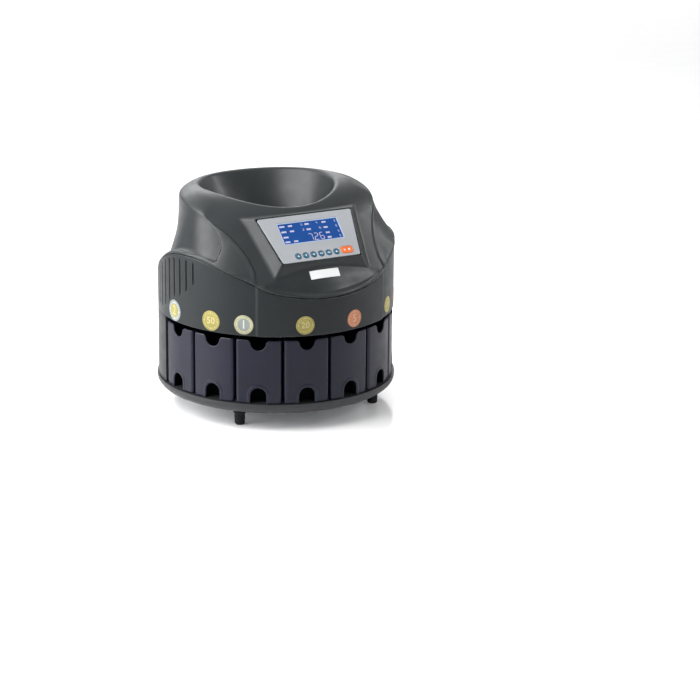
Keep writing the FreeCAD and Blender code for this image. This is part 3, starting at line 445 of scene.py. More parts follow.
def material(name, base, rough, vary=0.12, rough_vary=0.12, grain=2200.0, grain_depth=0.00004, metallic=0.0,
             coat=0.0, spec=0.5, wear=None, wear_amount=0.5, smudge=0.25, ior=1.46, stretch=(1, 1, 1), emission=None, emit=0.0):
    """Procedural finish: broad tone drift, smudges in the gloss, moulded grain and rubbed edges."""
    m = bpy.data.materials.new(name)
    m.use_nodes = True
    t = m.node_tree
    n, l = t.nodes, t.links
    b = n["Principled BSDF"]
    b.inputs["Metallic"].default_value = metallic
    b.inputs["IOR"].default_value = ior
    b.inputs["Coat Weight"].default_value = coat
    b.inputs["Specular IOR Level"].default_value = spec
    b.inputs["Coat Roughness"].default_value = 0.12
    co = n.new("ShaderNodeTexCoord")
    mp = n.new("ShaderNodeMapping")
    mp.inputs["Scale"].default_value = stretch
    l.new(co.outputs["Object"], mp.inputs["Vector"])

    def noise(scale, detail, rough_n=0.55, warp=0.0):
        q = n.new("ShaderNodeTexNoise")
        q.inputs["Scale"].default_value = scale
        q.inputs["Detail"].default_value = detail
        q.inputs["Roughness"].default_value = rough_n
        q.inputs["Distortion"].default_value = warp
        l.new(mp.outputs["Vector"], q.inputs["Vector"])
        return q.outputs["Fac"]

    def ramp(src, lo, hi, out_lo, out_hi):
        q = n.new("ShaderNodeMapRange")
        q.inputs["From Min"].default_value = lo
        q.inputs["From Max"].default_value = hi
        q.inputs["To Min"].default_value = out_lo
        q.inputs["To Max"].default_value = out_hi
        l.new(src, q.inputs["Value"])
        return q.outputs["Result"]

    def mix(fac, a, c):
        q = n.new("ShaderNodeMix")
        q.data_type = "RGBA"
        for i, v in ((6, a), (7, c)):
            if isinstance(v, tuple):
                q.inputs[i].default_value = (*v[:3], 1.0)
            else:
                l.new(v, q.inputs[i])
        l.new(fac, q.inputs[0])
        return q.outputs[2]

    def op(kind, a, c):
        q = n.new("ShaderNodeMath")
        q.operation = kind
        for i, v in ((0, a), (1, c)):
            if isinstance(v, (int, float)):
                q.inputs[i].default_value = v
            else:
                l.new(v, q.inputs[i])
        return q.outputs[0]

    drift = noise(22.0, 3.0)
    dark = tuple(c * (1 - vary) for c in base)
    lite = tuple(min(1.0, c * (1 + vary)) for c in base)
    colour = mix(ramp(drift, 0.3, 0.7, 0.0, 1.0), dark, lite)
    speck = noise(900.0, 2.0)
    fine = mix(ramp(speck, 0.60, 0.78, 0.0, 0.35), colour, tuple(c * 0.72 for c in base))
    if wear is not None:
        at = n.new("ShaderNodeAttribute")
        at.attribute_name = "edge_wear"
        rub = op("MULTIPLY", at.outputs["Fac"], ramp(noise(120.0, 4.0), 0.35, 0.65, 0.25 * wear_amount, wear_amount))
        fine = mix(rub, fine, wear)
    l.new(fine, b.inputs["Base Color"])
    haze = noise(46.0, 6.0, 0.62, 0.6)
    tone = op("ADD", ramp(haze, 0.32, 0.68, rough - rough_vary * 0.5, rough + rough_vary * 0.5), ramp(noise(260.0, 3.0), 0.55, 0.8, 0.0, smudge * 0.25))
    l.new(tone, b.inputs["Roughness"])
    bp = n.new("ShaderNodeBump")
    bp.inputs["Strength"].default_value = 0.5
    bp.inputs["Distance"].default_value = grain_depth
    height = op("ADD", noise(grain, 2.0), op("MULTIPLY", noise(grain * 0.16, 2.0), 0.6))
    l.new(height, bp.inputs["Height"])
    l.new(bp.outputs["Normal"], b.inputs["Normal"])
    if emission is not None:
        glow = mix(ramp(drift, 0.2, 0.8, 0.0, 1.0), tuple(c * 0.85 for c in emission), emission)
        l.new(glow, b.inputs["Emission Color"])
        b.inputs["Emission Strength"].default_value = emit
    MATS[name] = m
    return m


material("casing", (0.0125, 0.0158, 0.0175), 0.37, spec=0.42, vary=0.10, wear=(0.075, 0.083, 0.086), wear_amount=0.6, grain=3200, grain_depth=0.00003)
# darker, less glossy copy of the casing for the middle housing: the darker colour is painted shade against the light
# from the bright floor
material("housing_casing_painted_shade", (0.0115, 0.0142, 0.0158), 0.43, spec=0.27, vary=0.10, wear=(0.07, 0.077, 0.08), wear_amount=0.6, grain=2800, grain_depth=0.00004)
material("base_plastic", (0.021, 0.0215, 0.024), 0.42, spec=0.45, wear=(0.05, 0.05, 0.055))
material("drawer_plastic", (0.0055, 0.0055, 0.0165), 0.34, spec=0.30, vary=0.16, coat=0.03, wear=(0.045, 0.045, 0.065), wear_amount=0.5, grain=3000, grain_depth=0.00002)
# near-black matt material for the inside of the finger pockets: painted shade
material("pocket_painted_shade", (0.0012, 0.0012, 0.0026), 0.78, spec=0.06, vary=0.3, grain=1600, grain_depth=0.00006)
material("rubber", (0.006, 0.006, 0.0065), 0.70, spec=0.25, grain=1400, grain_depth=0.0001)
material("zinc_steel", (0.55, 0.56, 0.58), 0.36, metallic=1.0, grain=1800, grain_depth=0.00003)
material("steel", (0.52, 0.52, 0.53), 0.28, metallic=1.0, stretch=(1, 1, 12), grain=1800, grain_depth=0.00002)
material("inner_plastic", (0.020, 0.020, 0.022), 0.5)
material("deck_metal", (0.52, 0.52, 0.52), 0.38, metallic=1.0, stretch=(1, 9, 1), grain=1500, grain_depth=0.00002)
material("disc_plastic", (0.022, 0.022, 0.024), 0.40)
material("brass", (0.55, 0.39, 0.15), 0.35, metallic=1.0)
material("gear_plastic", (0.62, 0.60, 0.53), 0.45)
material("motor_can", (0.40, 0.40, 0.41), 0.40, metallic=1.0, stretch=(1, 1, 10))
material("circuit_board", (0.02, 0.11, 0.05), 0.42)
material("black_plastic", (0.008, 0.008, 0.009), 0.38, wear=(0.03, 0.03, 0.03))
material("panel_silver", (0.30, 0.315, 0.335), 0.40, vary=0.05, coat=0.1, grain=5200, grain_depth=0.00002, wear=(0.40, 0.41, 0.42))
material("display_glass", (0.004, 0.045, 0.190), 0.20, vary=0.12, coat=0.1, spec=0.25, grain=400, grain_depth=0.000004, emission=(0.008, 0.07, 0.33), emit=0.15)
material("lcd_white", (0.40, 0.38, 0.52), 0.35, vary=0.06, emission=(0.45, 0.45, 0.62), emit=0.12)
material("lcd_frame", (0.34, 0.42, 0.58), 0.35, vary=0.05)
material("key_blue", (0.010, 0.085, 0.155), 0.34, coat=0.2, wear=(0.03, 0.15, 0.23))
material("key_orange", (0.72, 0.135, 0.02), 0.34, coat=0.2, wear=(0.80, 0.22, 0.06))
material("mark_white", (0.55, 0.58, 0.60), 0.45, vary=0.04)
material("label_white", (0.70, 0.71, 0.71), 0.38, vary=0.05, grain=1200)
material("coin_gold", (0.315, 0.277, 0.085), 0.46, metallic=0.55, vary=0.34, grain=1100, grain_depth=0.00008)
material("coin_gold_light", (0.47, 0.415, 0.19), 0.38, metallic=0.55, vary=0.15, grain=1100, grain_depth=0.00006)
material("coin_pale", (0.37, 0.365, 0.235), 0.40, metallic=0.55, vary=0.28, grain=1100, grain_depth=0.00008)
material("coin_pale_light", (0.50, 0.50, 0.37), 0.38, metallic=0.55, vary=0.15, grain=1100, grain_depth=0.00006)
material("coin_silver", (0.25, 0.272, 0.258), 0.50, metallic=0.55, vary=0.18, grain=1100, grain_depth=0.00008)
material("coin_silver_light", (0.55, 0.57, 0.55), 0.36, metallic=0.55, vary=0.12, grain=1100, grain_depth=0.00006)
material("coin_copper", (0.34, 0.15, 0.085), 0.40, metallic=0.55, vary=0.2, grain=1100, grain_depth=0.00008)
material("coin_copper_light", (0.47, 0.25, 0.17), 0.38, metallic=0.55, vary=0.14, grain=1100, grain_depth=0.00006)
material("floor_paint", (0.88, 0.88, 0.885), 0.16, vary=0.012, rough_vary=0.03, smudge=0.03, grain=600, grain_depth=0.000004)


def paint(obj, name):
    obj.data.materials.clear()
    obj.data.materials.append(MATS[name])
    return obj


# ------------------------------------------------------------------ upper cover
paint(cover, "casing")
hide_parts("upper_cover")


def hinge_piece(name, x0, x1, web):
    """Hinge knuckle with its web, as one smooth moulding."""
    def f(x, y, z):
        axis = np.sqrt((y - 140.0) ** 2 + (z - 152.8) ** 2) - 4.4
        w = np.maximum(np.maximum(web[0] - y, y - web[1]), np.maximum(web[2] - z, z - web[3]))
        d = smin(axis, w, 2.2)
        d = smax(d, np.maximum(x0 - x, x - x1), 0.8)
        return np.maximum(d, 1.55 - np.sqrt((y - 140.0) ** 2 + (z - 152.8) ** 2))
    return paint(surface(name, f, (x0 - 1.5, 130, 136), (x1 + 1.5, 146.5, 162.5), 0.62, relax=1), "casing")


for nm, a, b in (("cover_eye_left", -39.9, -16.05), ("cover_eye_right", 16.05, 39.9)):
    rides(hinge_piece(nm, a, b, (132.6, 138.9, 153.2, 160.4)), "cover", "casing")
rides(hinge_piece("housing_eye", -15.6, 15.6, (137.8, 140.6, 138.4, 149.5)), "base", "casing")

# --------------------------------------------------------------- middle housing
GROOVES = [(69.6, 168, 195.5), (74.4, 158, 196.5), (79.2, 151, 196), (84, 146.5, 194.5), (88.8, 140, 191.5),
           (93.6, 131, 186.5), (98.4, 127, 180.5), (103.2, 127, 174), (108, 127, 167.5)]


def smooth01(t):
    t = np.clip(t, 0, 1)
    return t * t * (3 - 2 * t)


def housing_radius(deg, z):
    a = np.abs(deg)
    r = DRUM + 1.5 * smooth01((36.6 - a) / 1.7)
    for g, lo, hi in GROOVES:
        u = (a - g) * math.pi / 180.0 * DRUM
        v = np.maximum(np.maximum(lo + 1.2 - z, z - hi + 1.2), 0.0)
        r = r - 1.5 * smooth01((1.35 - np.hypot(u, v)) / 0.75)
    return r


def columns():
    c = set(np.round(np.arange(-180, 180, 1.0), 3))
    for g, _, _ in GROOVES:
        for s in (-1, 1):
            for d in (-0.75, -0.55, -0.45, -0.36, -0.27, -0.12, 0.0, 0.12, 0.27, 0.36, 0.45, 0.55, 0.75):
                c.add(round(s * (g + d), 3))
    for e in np.arange(33.6, 38.2, 0.3):
        c.add(round(e, 3))
        c.add(round(-e, 3))
    c = np.array(sorted(c))
    return c[np.concatenate([[True], np.diff(c) > 0.05])]


def shell_ring(name, degs, z_low, z_top, rows, closed):
    """Curved wall: a section loop per angle, with rounded edges at the bottom and top."""
    degs = np.asarray(degs, float)
    top = z_top(degs)
    lo = np.full_like(degs, z_low)
    t = np.linspace(0, 1, rows)
    ring_r, ring_z, wear = [], [], []

    def add(dr, z, outer, w=0.0):
        r = housing_radius(degs, z) - dr if outer else np.full_like(degs, DRUM - 3.0 + dr)
        ring_r.append(r)
        ring_z.append(z)
        wear.append(np.full_like(degs, w))
    add(0.9, lo, True, 0.6)
    add(0.3, lo + 0.25, True, 1.0)
    for q in t:
        add(0.0, lo + 0.9 + q * (top - lo - 1.9), True)
    add(0.3, top - 0.3, True, 1.0)
    add(1.0, top, True, 0.6)
    add(0.5, top, False)
    add(0.0, top - 0.5, False)
    for q in t[::-3]:
        add(0.0, lo + 0.9 + q * (top - lo - 1.9), False)
    add(0.4, lo, False)
    R, Z = np.array(ring_r), np.array(ring_z)
    m, n = R.shape
    a = np.radians(degs)[None, :]
    verts = np.stack([R * np.sin(a), -R * np.cos(a), Z], -1).reshape(-1, 3)
    quads = []
    cols = n if closed else n - 1
    for j in range(cols):
        k = (j + 1) % n
        for i in range(m):
            h = (i + 1) % m
            quads.append((i * n + j, i * n + k, h * n + k, h * n + j))
    o = array_mesh(name, verts, quads, attrs={"edge_wear": np.array(wear).ravel()})
    if not closed:
        bm = bmesh.new()
        bm.from_mesh(o.data)
        bmesh.ops.holes_fill(bm, edges=[e for e in bm.edges if e.is_boundary], sides=0)
        bm.to_mesh(o.data)
        bm.free()
    fix_normals(o)
    return sharpen(o, 48.0)


def boolean(obj, cutter):
    md = obj.modifiers.new("cut", "BOOLEAN")
    md.operation, md.solver, md.object = "DIFFERENCE", "EXACT", cutter
    dg = bpy.context.evaluated_depsgraph_get()
    me = bpy.data.meshes.new_from_object(obj.evaluated_get(dg))
    obj.modifiers.clear()
    old = obj.data
    obj.data = me
    bpy.data.meshes.remove(old)
    bpy.data.objects.remove(cutter)
    return obj


def block(name, lo, hi, turn=0.0):
    v = [(x, y, z) for x in (lo[0], hi[0]) for y in (lo[1], hi[1]) for z in (lo[2], hi[2])]
    f = [(0, 1, 3, 2), (4, 6, 7, 5), (0, 4, 5, 1), (2, 3, 7, 6), (0, 2, 6, 4), (1, 5, 7, 3)]
    c, s = math.cos(math.radians(turn)), math.sin(math.radians(turn))
    return pydata(name, [(x * c - y * s, x * s + y * c, z) for x, y, z in v], f, smooth=False)


# band and back wall use the darker copy of the casing, which is painted shade
upper = shell_ring("housing_band", columns(), 116.0, seam_z, 58, True)
paint(upper, "housing_casing_painted_shade")
rides(upper, "base", "casing", "middle_housing")
rear = shell_ring("housing_back", np.linspace(94.3, 265.7, 150), 33.2, lambda d: np.full_like(d, 116.9), 14, False)
rear.data.materials.append(MATS["housing_casing_painted_shade"])
bpy.context.view_layer.update()
boolean(rear, block("cut_inlet", (-13.8, 130, 59.7), (13.8, 150, 80.3)))
boolean(rear, block("cut_switch", (-9.8, 130, 63.3), (9.8, 150, 76.7), -15.0))
sharpen(rear, 48.0)
paint(rear, "housing_casing_painted_shade")
rides(rear, "base", "casing", "middle_housing")
ledge = lathe("housing_ledge", round_profile([(136.0, 116.2), (140.3, 116.2), (140.3, 118.0), (136.0, 118.0), (136.0, 116.2)], {1: 0.4, 2: 0.3, 3: 0.4}, 3)[:-1], 144)
paint(sharpen(ledge), "casing")
rides(ledge, "base", "casing", "middle_housing")

# ----------------------------------------------------------------- coin drawers
HALF = math.radians(11.225)


def drawer_f(x, y, z):
    r = np.sqrt(x * x + y * y)
    side = np.abs(x) * math.cos(HALF) - (-y) * math.sin(HALF)
    out = smax(smax(side, r - 142.0, 4.5), 66.0 - r, 2.0)
    shell = smax(smax(out, z - 111.0, 2.2), 33.5 - z, 1.2)
    inn = smax(smax(side + 2.35, r - 139.8, 3.0), 68.2 - r, 1.2)
    inn = smax(inn, 35.5 - z, 3.0)
    d = smax(shell, -inn, 1.2)
    # round-shouldered notch at the top of the front
    w = -y
    u = np.abs(x)
    flare_n = 9.0 + 3.2 * np.clip((z - 106.2) / 4.8, 0, 1) ** 2
    top_n = np.where(z < 107.5, np.sqrt(x * x + np.minimum(z - 107.5, 0) ** 2) - 9.0, u - flare_n)
    notch = np.maximum(top_n, 130.0 - w)
    d = smax(d, -notch, 1.2)
    # finger pocket: arched mouth with its own walls
    arch = np.where(z > 42.9, np.sqrt(x * x + (z - 42.9) ** 2), u)
    lug = smax(smax(arch - 11.4, 125.0 - w, 1.2), np.maximum(out + 0.2, 33.5 - z), 0.6)
    d = smin(d, lug, 1.0)
    # faint raised border round the arch
    border = smax(np.abs(arch - 11.6) - 1.5, np.abs(r - 141.75) - 0.62, 0.5)
    border = np.maximum(np.maximum(border, 33.9 - z), 135.0 - w)
    d = smin(d, np.maximum(border, r - 142.35), 0.6)
    mouth = np.maximum(arch - 9.4, 127.0 - w)
    return smax(d, -mouth, 1.0)


drawer_mesh = surface("drawer_1_body", drawer_f, (-30.5, -144, 32), (30.5, -64, 113), 0.8)
dm = drawer_mesh.modifiers.new("reduce", "DECIMATE")
dm.ratio = 0.45
dm.use_collapse_triangulate = False
dg = bpy.context.evaluated_depsgraph_get()
small = bpy.data.meshes.new_from_object(drawer_mesh.evaluated_get(dg))
drawer_mesh.modifiers.clear()
for p in small.polygons:
    p.use_smooth = True
print("drawer", len(small.polygons))
for i in range(8):
    o = drawer_mesh if i == 0 else link(bpy.data.objects.new("drawer_%d_body" % (i + 1), small))
    o.data = small
    o.rotation_euler = (0, 0, math.radians((i - 3.5) * 23.45))
    paint(o, "drawer_plastic")
    rides(o, "drawer_%d" % (i + 1), "drawer_plastic", "coin_drawer_%d" % (i + 1))
# painted shade: the faces inside the finger pockets get a near-black matt material that darkens them like the shade
# deep in the pockets
small.materials.append(MATS["pocket_painted_shade"])
for p in small.polygons:
    px, pw, pz = p.center.x * 1000, -p.center.y * 1000, p.center.z * 1000
    if math.hypot(px, max(pz - 42.9, 0.0)) < 9.8 and 126.4 < pw < 140.7:
        p.material_index = 1



# ---------------------------------------------------------------- control panel
PANEL = Matrix(((1, 0, 0, 0), (0, CT, -ST, PY / 1000), (0, ST, CT, PZ / 1000), (0, 0, 0, 1)))


def on_panel(obj):
    obj.data.transform(PANEL)
    return obj


def flat_plate(name, loops, z0, z1, bevel=0.25):
    """Plate with holes and rounded edges, from closed outlines in millimetres."""
    cu = bpy.data.curves.new(name, "CURVE")
    cu.dimensions, cu.fill_mode = "2D", "BOTH"
    cu.extrude = max((z1 - z0) / 2 - bevel, 0.0) / 1000
    cu.bevel_depth, cu.bevel_resolution, cu.offset = bevel / 1000, 2, -bevel / 1000
    for loop in loops:
        sp = cu.splines.new("POLY")
        sp.points.add(len(loop) - 1)
        for p, (x, y) in zip(sp.points, loop):
            p.co = (x / 1000, y / 1000, 0, 1)
        sp.use_cyclic_u = True
    tmp = link(bpy.data.objects.new(name + "_curve", cu))
    bpy.context.view_layer.update()
    me = bpy.data.meshes.new_from_object(tmp.evaluated_get(bpy.context.evaluated_depsgraph_get()))
    me.name = name
    bpy.data.objects.remove(tmp)
    bpy.data.curves.remove(cu)
    me.transform(Matrix.Translation((0, 0, (z0 + z1) / 2000)))
    for p in me.polygons:
        p.use_smooth = True
    o = link(bpy.data.objects.new(name, me))
    me.materials.clear()
    fix_normals(o)
    return sharpen(o, 40.0)


def corner_loop(points, radii, n=6):
    """Closed outline with rounded corners."""
    k = len(points)
    out = []
    for i in range(k):
        seg = round_profile([points[i - 1], points[i], points[(i + 1) % k]], {1: radii[i]}, n)
        out.extend(seg[1:-1])
    return out


def rect_loop(cx, cy, w, h, r, n=6):
    return corner_loop([(cx - w / 2, cy - h / 2), (cx + w / 2, cy - h / 2), (cx + w / 2, cy + h / 2), (cx - w / 2, cy + h / 2)], [r] * 4, n)


def circle_loop(cx, cy, r, n=40):
    return [(cx + r * math.cos(2 * math.pi * i / n), cy + r * math.sin(2 * math.pi * i / n)) for i in range(n)]


LCD_Y = 8.0
KEYS = [(-28.5 + 10.05 * k, -24.5) for k in range(6)]
START = (36.0, -23.7)
outline = corner_loop([(-50.5, -32.1), (50.5, -32.1), (62.0, 32.1), (-62.0, 32.1)], [2.5, 2.5, 2.0, 2.0])
plate = flat_plate("fascia_plate", [outline, rect_loop(0, LCD_Y, 80.4, 30.9, 0.8)] + [circle_loop(x, y, 4.25) for x, y in KEYS]
                   + [rect_loop(START[0], START[1], 16.0, 10.0, 3.4)], -0.7, 1.3, 0.3)
rides(paint(on_panel(plate), "panel_silver"), "cover", "panel_silver", "control_panel")

frame_lcd = flat_plate("display_border", [rect_loop(0, LCD_Y, 80.0, 30.5, 0.6), rect_loop(0, LCD_Y, 77.6, 28.1, 0.4)], -0.4, 1.1, 0.15)
rides(paint(on_panel(frame_lcd), "lcd_frame"), "cover", "display_glass", "display_lens")
screen = flat_plate("display_screen", [rect_loop(0, LCD_Y, 77.5, 28.0, 0.4)], -0.4, 0.8, 0.05)
rides(paint(on_panel(screen), "display_glass"), "cover", "display_glass", "display_lens")

SEGMENTS = {"0": "abcdef", "1": "bc", "2": "abged", "3": "abgcd", "4": "fgbc", "5": "afgcd", "6": "afgedc", "7": "abc", "8": "abcdefg", "9": "abcdfg"}


def digit_prisms(ch, x, y, w, h, t):
    """Seven-segment digit as flat six-sided bars; (x, y) is its lower left corner."""
    lines = {"a": ((x, y + h), (x + w, y + h)), "b": ((x + w, y + h), (x + w, y + h / 2)), "c": ((x + w, y + h / 2), (x + w, y)),
             "d": ((x, y), (x + w, y)), "e": ((x, y + h / 2), (x, y)), "f": ((x, y + h), (x, y + h / 2)), "g": ((x, y + h / 2), (x + w, y + h / 2))}
    out = []
    for s in SEGMENTS[ch]:
        (x0, y0), (x1, y1) = lines[s]
        L = math.hypot(x1 - x0, y1 - y0)
        dx, dy = (x1 - x0) / L, (y1 - y0) / L
        nx, ny = -dy * t / 2, dx * t / 2
        g, e = 0.06 * h, t / 2
        p = [(x0 + dx * g * .5, y0 + dy * g * .5), (x0 + dx * (g * .5 + e) + nx, y0 + dy * (g * .5 + e) + ny), (x1 - dx * (g * .5 + e) + nx, y1 - dy * (g * .5 + e) + ny),
             (x1 - dx * g * .5, y1 - dy * g * .5), (x1 - dx * (g * .5 + e) - nx, y1 - dy * (g * .5 + e) - ny), (x0 + dx * (g * .5 + e) - nx, y0 + dy * (g * .5 + e) - ny)]
        out.append(p)
    return out


def prisms(name, loops, z0, z1):
    verts, faces = [], []
    for loop in loops:
        k, b = len(loop), len(verts)
        verts += [(x, y, z0) for x, y in loop] + [(x, y, z1) for x, y in loop]
        faces.append(tuple(range(b + k, b + 2 * k)))
        faces.append(tuple(range(b + k - 1, b - 1, -1)))
        faces += [(b + i, b + (i + 1) % k, b + k + (i + 1) % k, b + k + i) for i in range(k)]
    o = pydata(name, verts, faces, smooth=False)
    return fix_normals(o)


marks = []


def number(text, x, y, h, t, w=None, gap=None):
    w = w or h * 0.55
    gap = gap or h * 0.32
    for ch in text:
        if ch == ".":
            marks.append(circle_loop(x - gap * 0.35, y, t * 0.75, 10))
            continue
        marks.extend(digit_prisms(ch, x, y, w, h, t))
        x += w + gap


ROWS = (17.3, 9.8, 2.3, -4.4)
for k, row in enumerate(ROWS):
    marks.append(rect_loop(-34.2, row + 1.1, 6.6, 2.2, 0.4, 3))
    if k in (0, 1, 3):
        marks.append(rect_loop(-23.4, row + 1.1, 5.4, 2.2, 0.4, 3))
    if k < 2:
        number(("0", "2")[k], -9.0, row, 2.6, 0.45)
        marks.append(rect_loop(-1.4, row + 1.1, 5.6, 2.2, 0.4, 3))
        number(("4", "15")[k], 11.0, row, 2.6, 0.45)
        marks.append(rect_loop(21.1, row + 1.1, 5.6, 2.2, 0.4, 3))
        number(("3", "0")[k], 34.6, row, 2.6, 0.45)
    else:
        marks.append(rect_loop(21.1, row + 1.1, 5.2, 2.2, 0.4, 3))
        number(("3", "0")[k - 2], 34.6, row, 2.6, 0.45)
number("7.26", -4.6, -4.6, 9.2, 0.85, 4.4, 2.8)
segs = prisms("display_figures", marks, 0.70, 0.86)
rides(paint(on_panel(segs), "lcd_white"), "cover", "display_glass")

key_profile = [(0, 1.60), (1.3, 1.57), (2.4, 1.46), (3.2, 1.22), (3.7, 0.86), (3.93, 0.35), (3.97, -0.2), (3.97, -1.9), (0, -1.9)]
TRI = {"up": [(-1.5, -1.0), (1.5, -1.0), (0, 1.5)], "down": [(-1.5, 1.0), (0, -1.5), (1.5, 1.0)], "left": [(1.0, -1.5), (1.0, 1.5), (-1.5, 0)],
       "both_l": [(-0.35, -1.2), (-0.35, 1.2), (-2.1, 0)], "both_r": [(0.35, -1.2), (2.1, 0), (0.35, 1.2)]}
SIGNS = (("up",), ("down",), ("left",), ("both_l", "both_r"), ("both_l", "both_r"), ("up",))
for k, (x, y) in enumerate(KEYS):
    cap = lathe("key_%d_cap" % (k + 1), key_profile, 40, (x, y))
    rides(paint(on_panel(sharpen(cap, 60)), "key_blue"), "key_%d" % (k + 1), "key_blue", "panel_key_%d" % (k + 1))
    glyph = prisms("key_%d_mark" % (k + 1), [[(x + a, y + b) for a, b in TRI[s]] for s in SIGNS[k]], 1.30, 1.63)
    rides(paint(on_panel(glyph), "mark_white"), "key_%d" % (k + 1), "key_blue")
cap = flat_plate("start_cap", [rect_loop(START[0], START[1], 15.5, 9.5, 3.2)], -1.9, 1.6, 0.7)
rides(paint(on_panel(cap), "key_orange"), "key_start", "key_orange", "start_key")
glyph = prisms("start_mark", [[(START[0] - 4.2, START[1] - 1.6), (START[0] - 1.4, START[1]), (START[0] - 4.2, START[1] + 1.6)],
                              [(START[0] + 1.2, START[1] - 1.4), (START[0] + 4.0, START[1] - 1.4), (START[0] + 4.0, START[1] + 1.4), (START[0] + 1.2, START[1] + 1.4)]], 1.4, 1.64)
rides(paint(on_panel(glyph), "mark_white"), "key_start", "key_orange")

# ---------------------------------------------------------------- blank label
def label_grid():
    """Thin label laid on the hood's own surface."""
    w, h, r = 38.0, 10.2, 0.9
    lean = math.radians(45.8)
    nu, nv = 40, 14
    us = np.linspace(-w / 2, w / 2, nu)
    vs = np.linspace(-h / 2, h / 2, nv)
    U, V = np.meshgrid(us, vs, indexing="ij")
    nrm = np.array([0.0, -math.sin(lean), math.cos(lean)])
    up = np.array([0.0, math.cos(lean), math.sin(lean)])
    c = np.array([0.0, -128.0, 185.6])
    P = c + U[..., None] * np.array([1.0, 0, 0]) + V[..., None] * up + nrm * 3.0
    P = P.reshape(-1, 3)
    lo, hi = np.full(len(P), -12.0), np.full(len(P), 6.0)
    for _ in range(40):
        mid = (lo + hi) / 2
        inside = cover_body(*(P + nrm * mid[:, None]).T) < 0
        lo = np.where(inside, mid, lo)
        hi = np.where(inside, hi, mid)
    S = P + nrm * hi[:, None]
    top, bot = S + nrm * 0.28, S + nrm * -0.15
    n = nu * nv
    faces = []
    for i in range(nu - 1):
        for j in range(nv - 1):
            a, b, d, e = i * nv + j, (i + 1) * nv + j, (i + 1) * nv + j + 1, i * nv + j + 1
            faces.append((a, b, d, e))
            faces.append((n + e, n + d, n + b, n + a))
    rim = [i * nv for i in range(nu)] + [(nu - 1) * nv + j for j in range(1, nv)] + [i * nv + nv - 1 for i in range(nu - 2, -1, -1)] + [j for j in range(nv - 2, 0, -1)]
    for a, b in zip(rim, rim[1:] + rim[:1]):
        faces.append((b, a, n + a, n + b))
    o = pydata("label_plate", np.concatenate([top, bot]).tolist(), faces)
    fix_normals(o)
    return sharpen(o, 40)


label = paint(label_grid(), "label_white")
rides(label, "cover", "label_white", "blank_label")

# ----------------------------------------------------------------- coin stickers
COINS = [(-84, 25.75, "2"), (-59, 24.25, "50"), (-42, 23.25, "1"), (-13, 22.25, "20"), (13, 21.25, "5"), (42, 19.75, "10"), (59, 18.75, "2"), (84, 16.25, "1")]
METAL = [("coin_silver", "coin_gold"), ("coin_gold", "coin_gold"), ("coin_pale", "coin_silver"), ("coin_gold", "coin_gold"),
         ("coin_copper", "coin_copper"), ("coin_gold", "coin_gold"), ("coin_copper", "coin_copper"), ("coin_copper", "coin_copper")]
NODE = ["stickers_two_tone", "stickers_brass", "stickers_two_tone", "stickers_brass", "stickers_copper", "stickers_brass", "stickers_copper", "stickers_copper"]
SLOT = {"stickers_two_tone": "sticker_two_tone", "stickers_brass": "sticker_brass", "stickers_copper": "sticker_copper"}
STICKER_Z = 129.5


def wrap(pts, deg, r0):
    """Flat sticker coordinates (across, up, out) onto the drum."""
    p = np.asarray(pts, float)
    a = math.radians(deg) + p[:, 0] / r0
    r = r0 + p[:, 2]
    return np.stack([r * np.sin(a), -r * np.cos(a), STICKER_Z + p[:, 1]], 1)


def figure_points(text, size):
    cu = bpy.data.curves.new("figure", "FONT")
    cu.body, cu.size, cu.align_x, cu.align_y = text, size / 1000, "CENTER", "CENTER"
    cu.extrude, cu.resolution_u = 0.00006, 3
    cu.offset = 0.00012
    tmp = link(bpy.data.objects.new("figure", cu))
    bpy.context.view_layer.update()
    me = bpy.data.meshes.new_from_object(tmp.evaluated_get(bpy.context.evaluated_depsgraph_get()))
    v = np.array([p.co for p in me.vertices]) * 1000
    f = [tuple(p.vertices) for p in me.polygons]
    bpy.data.objects.remove(tmp)
    bpy.data.curves.remove(cu)
    bpy.data.meshes.remove(me)
    return v, f


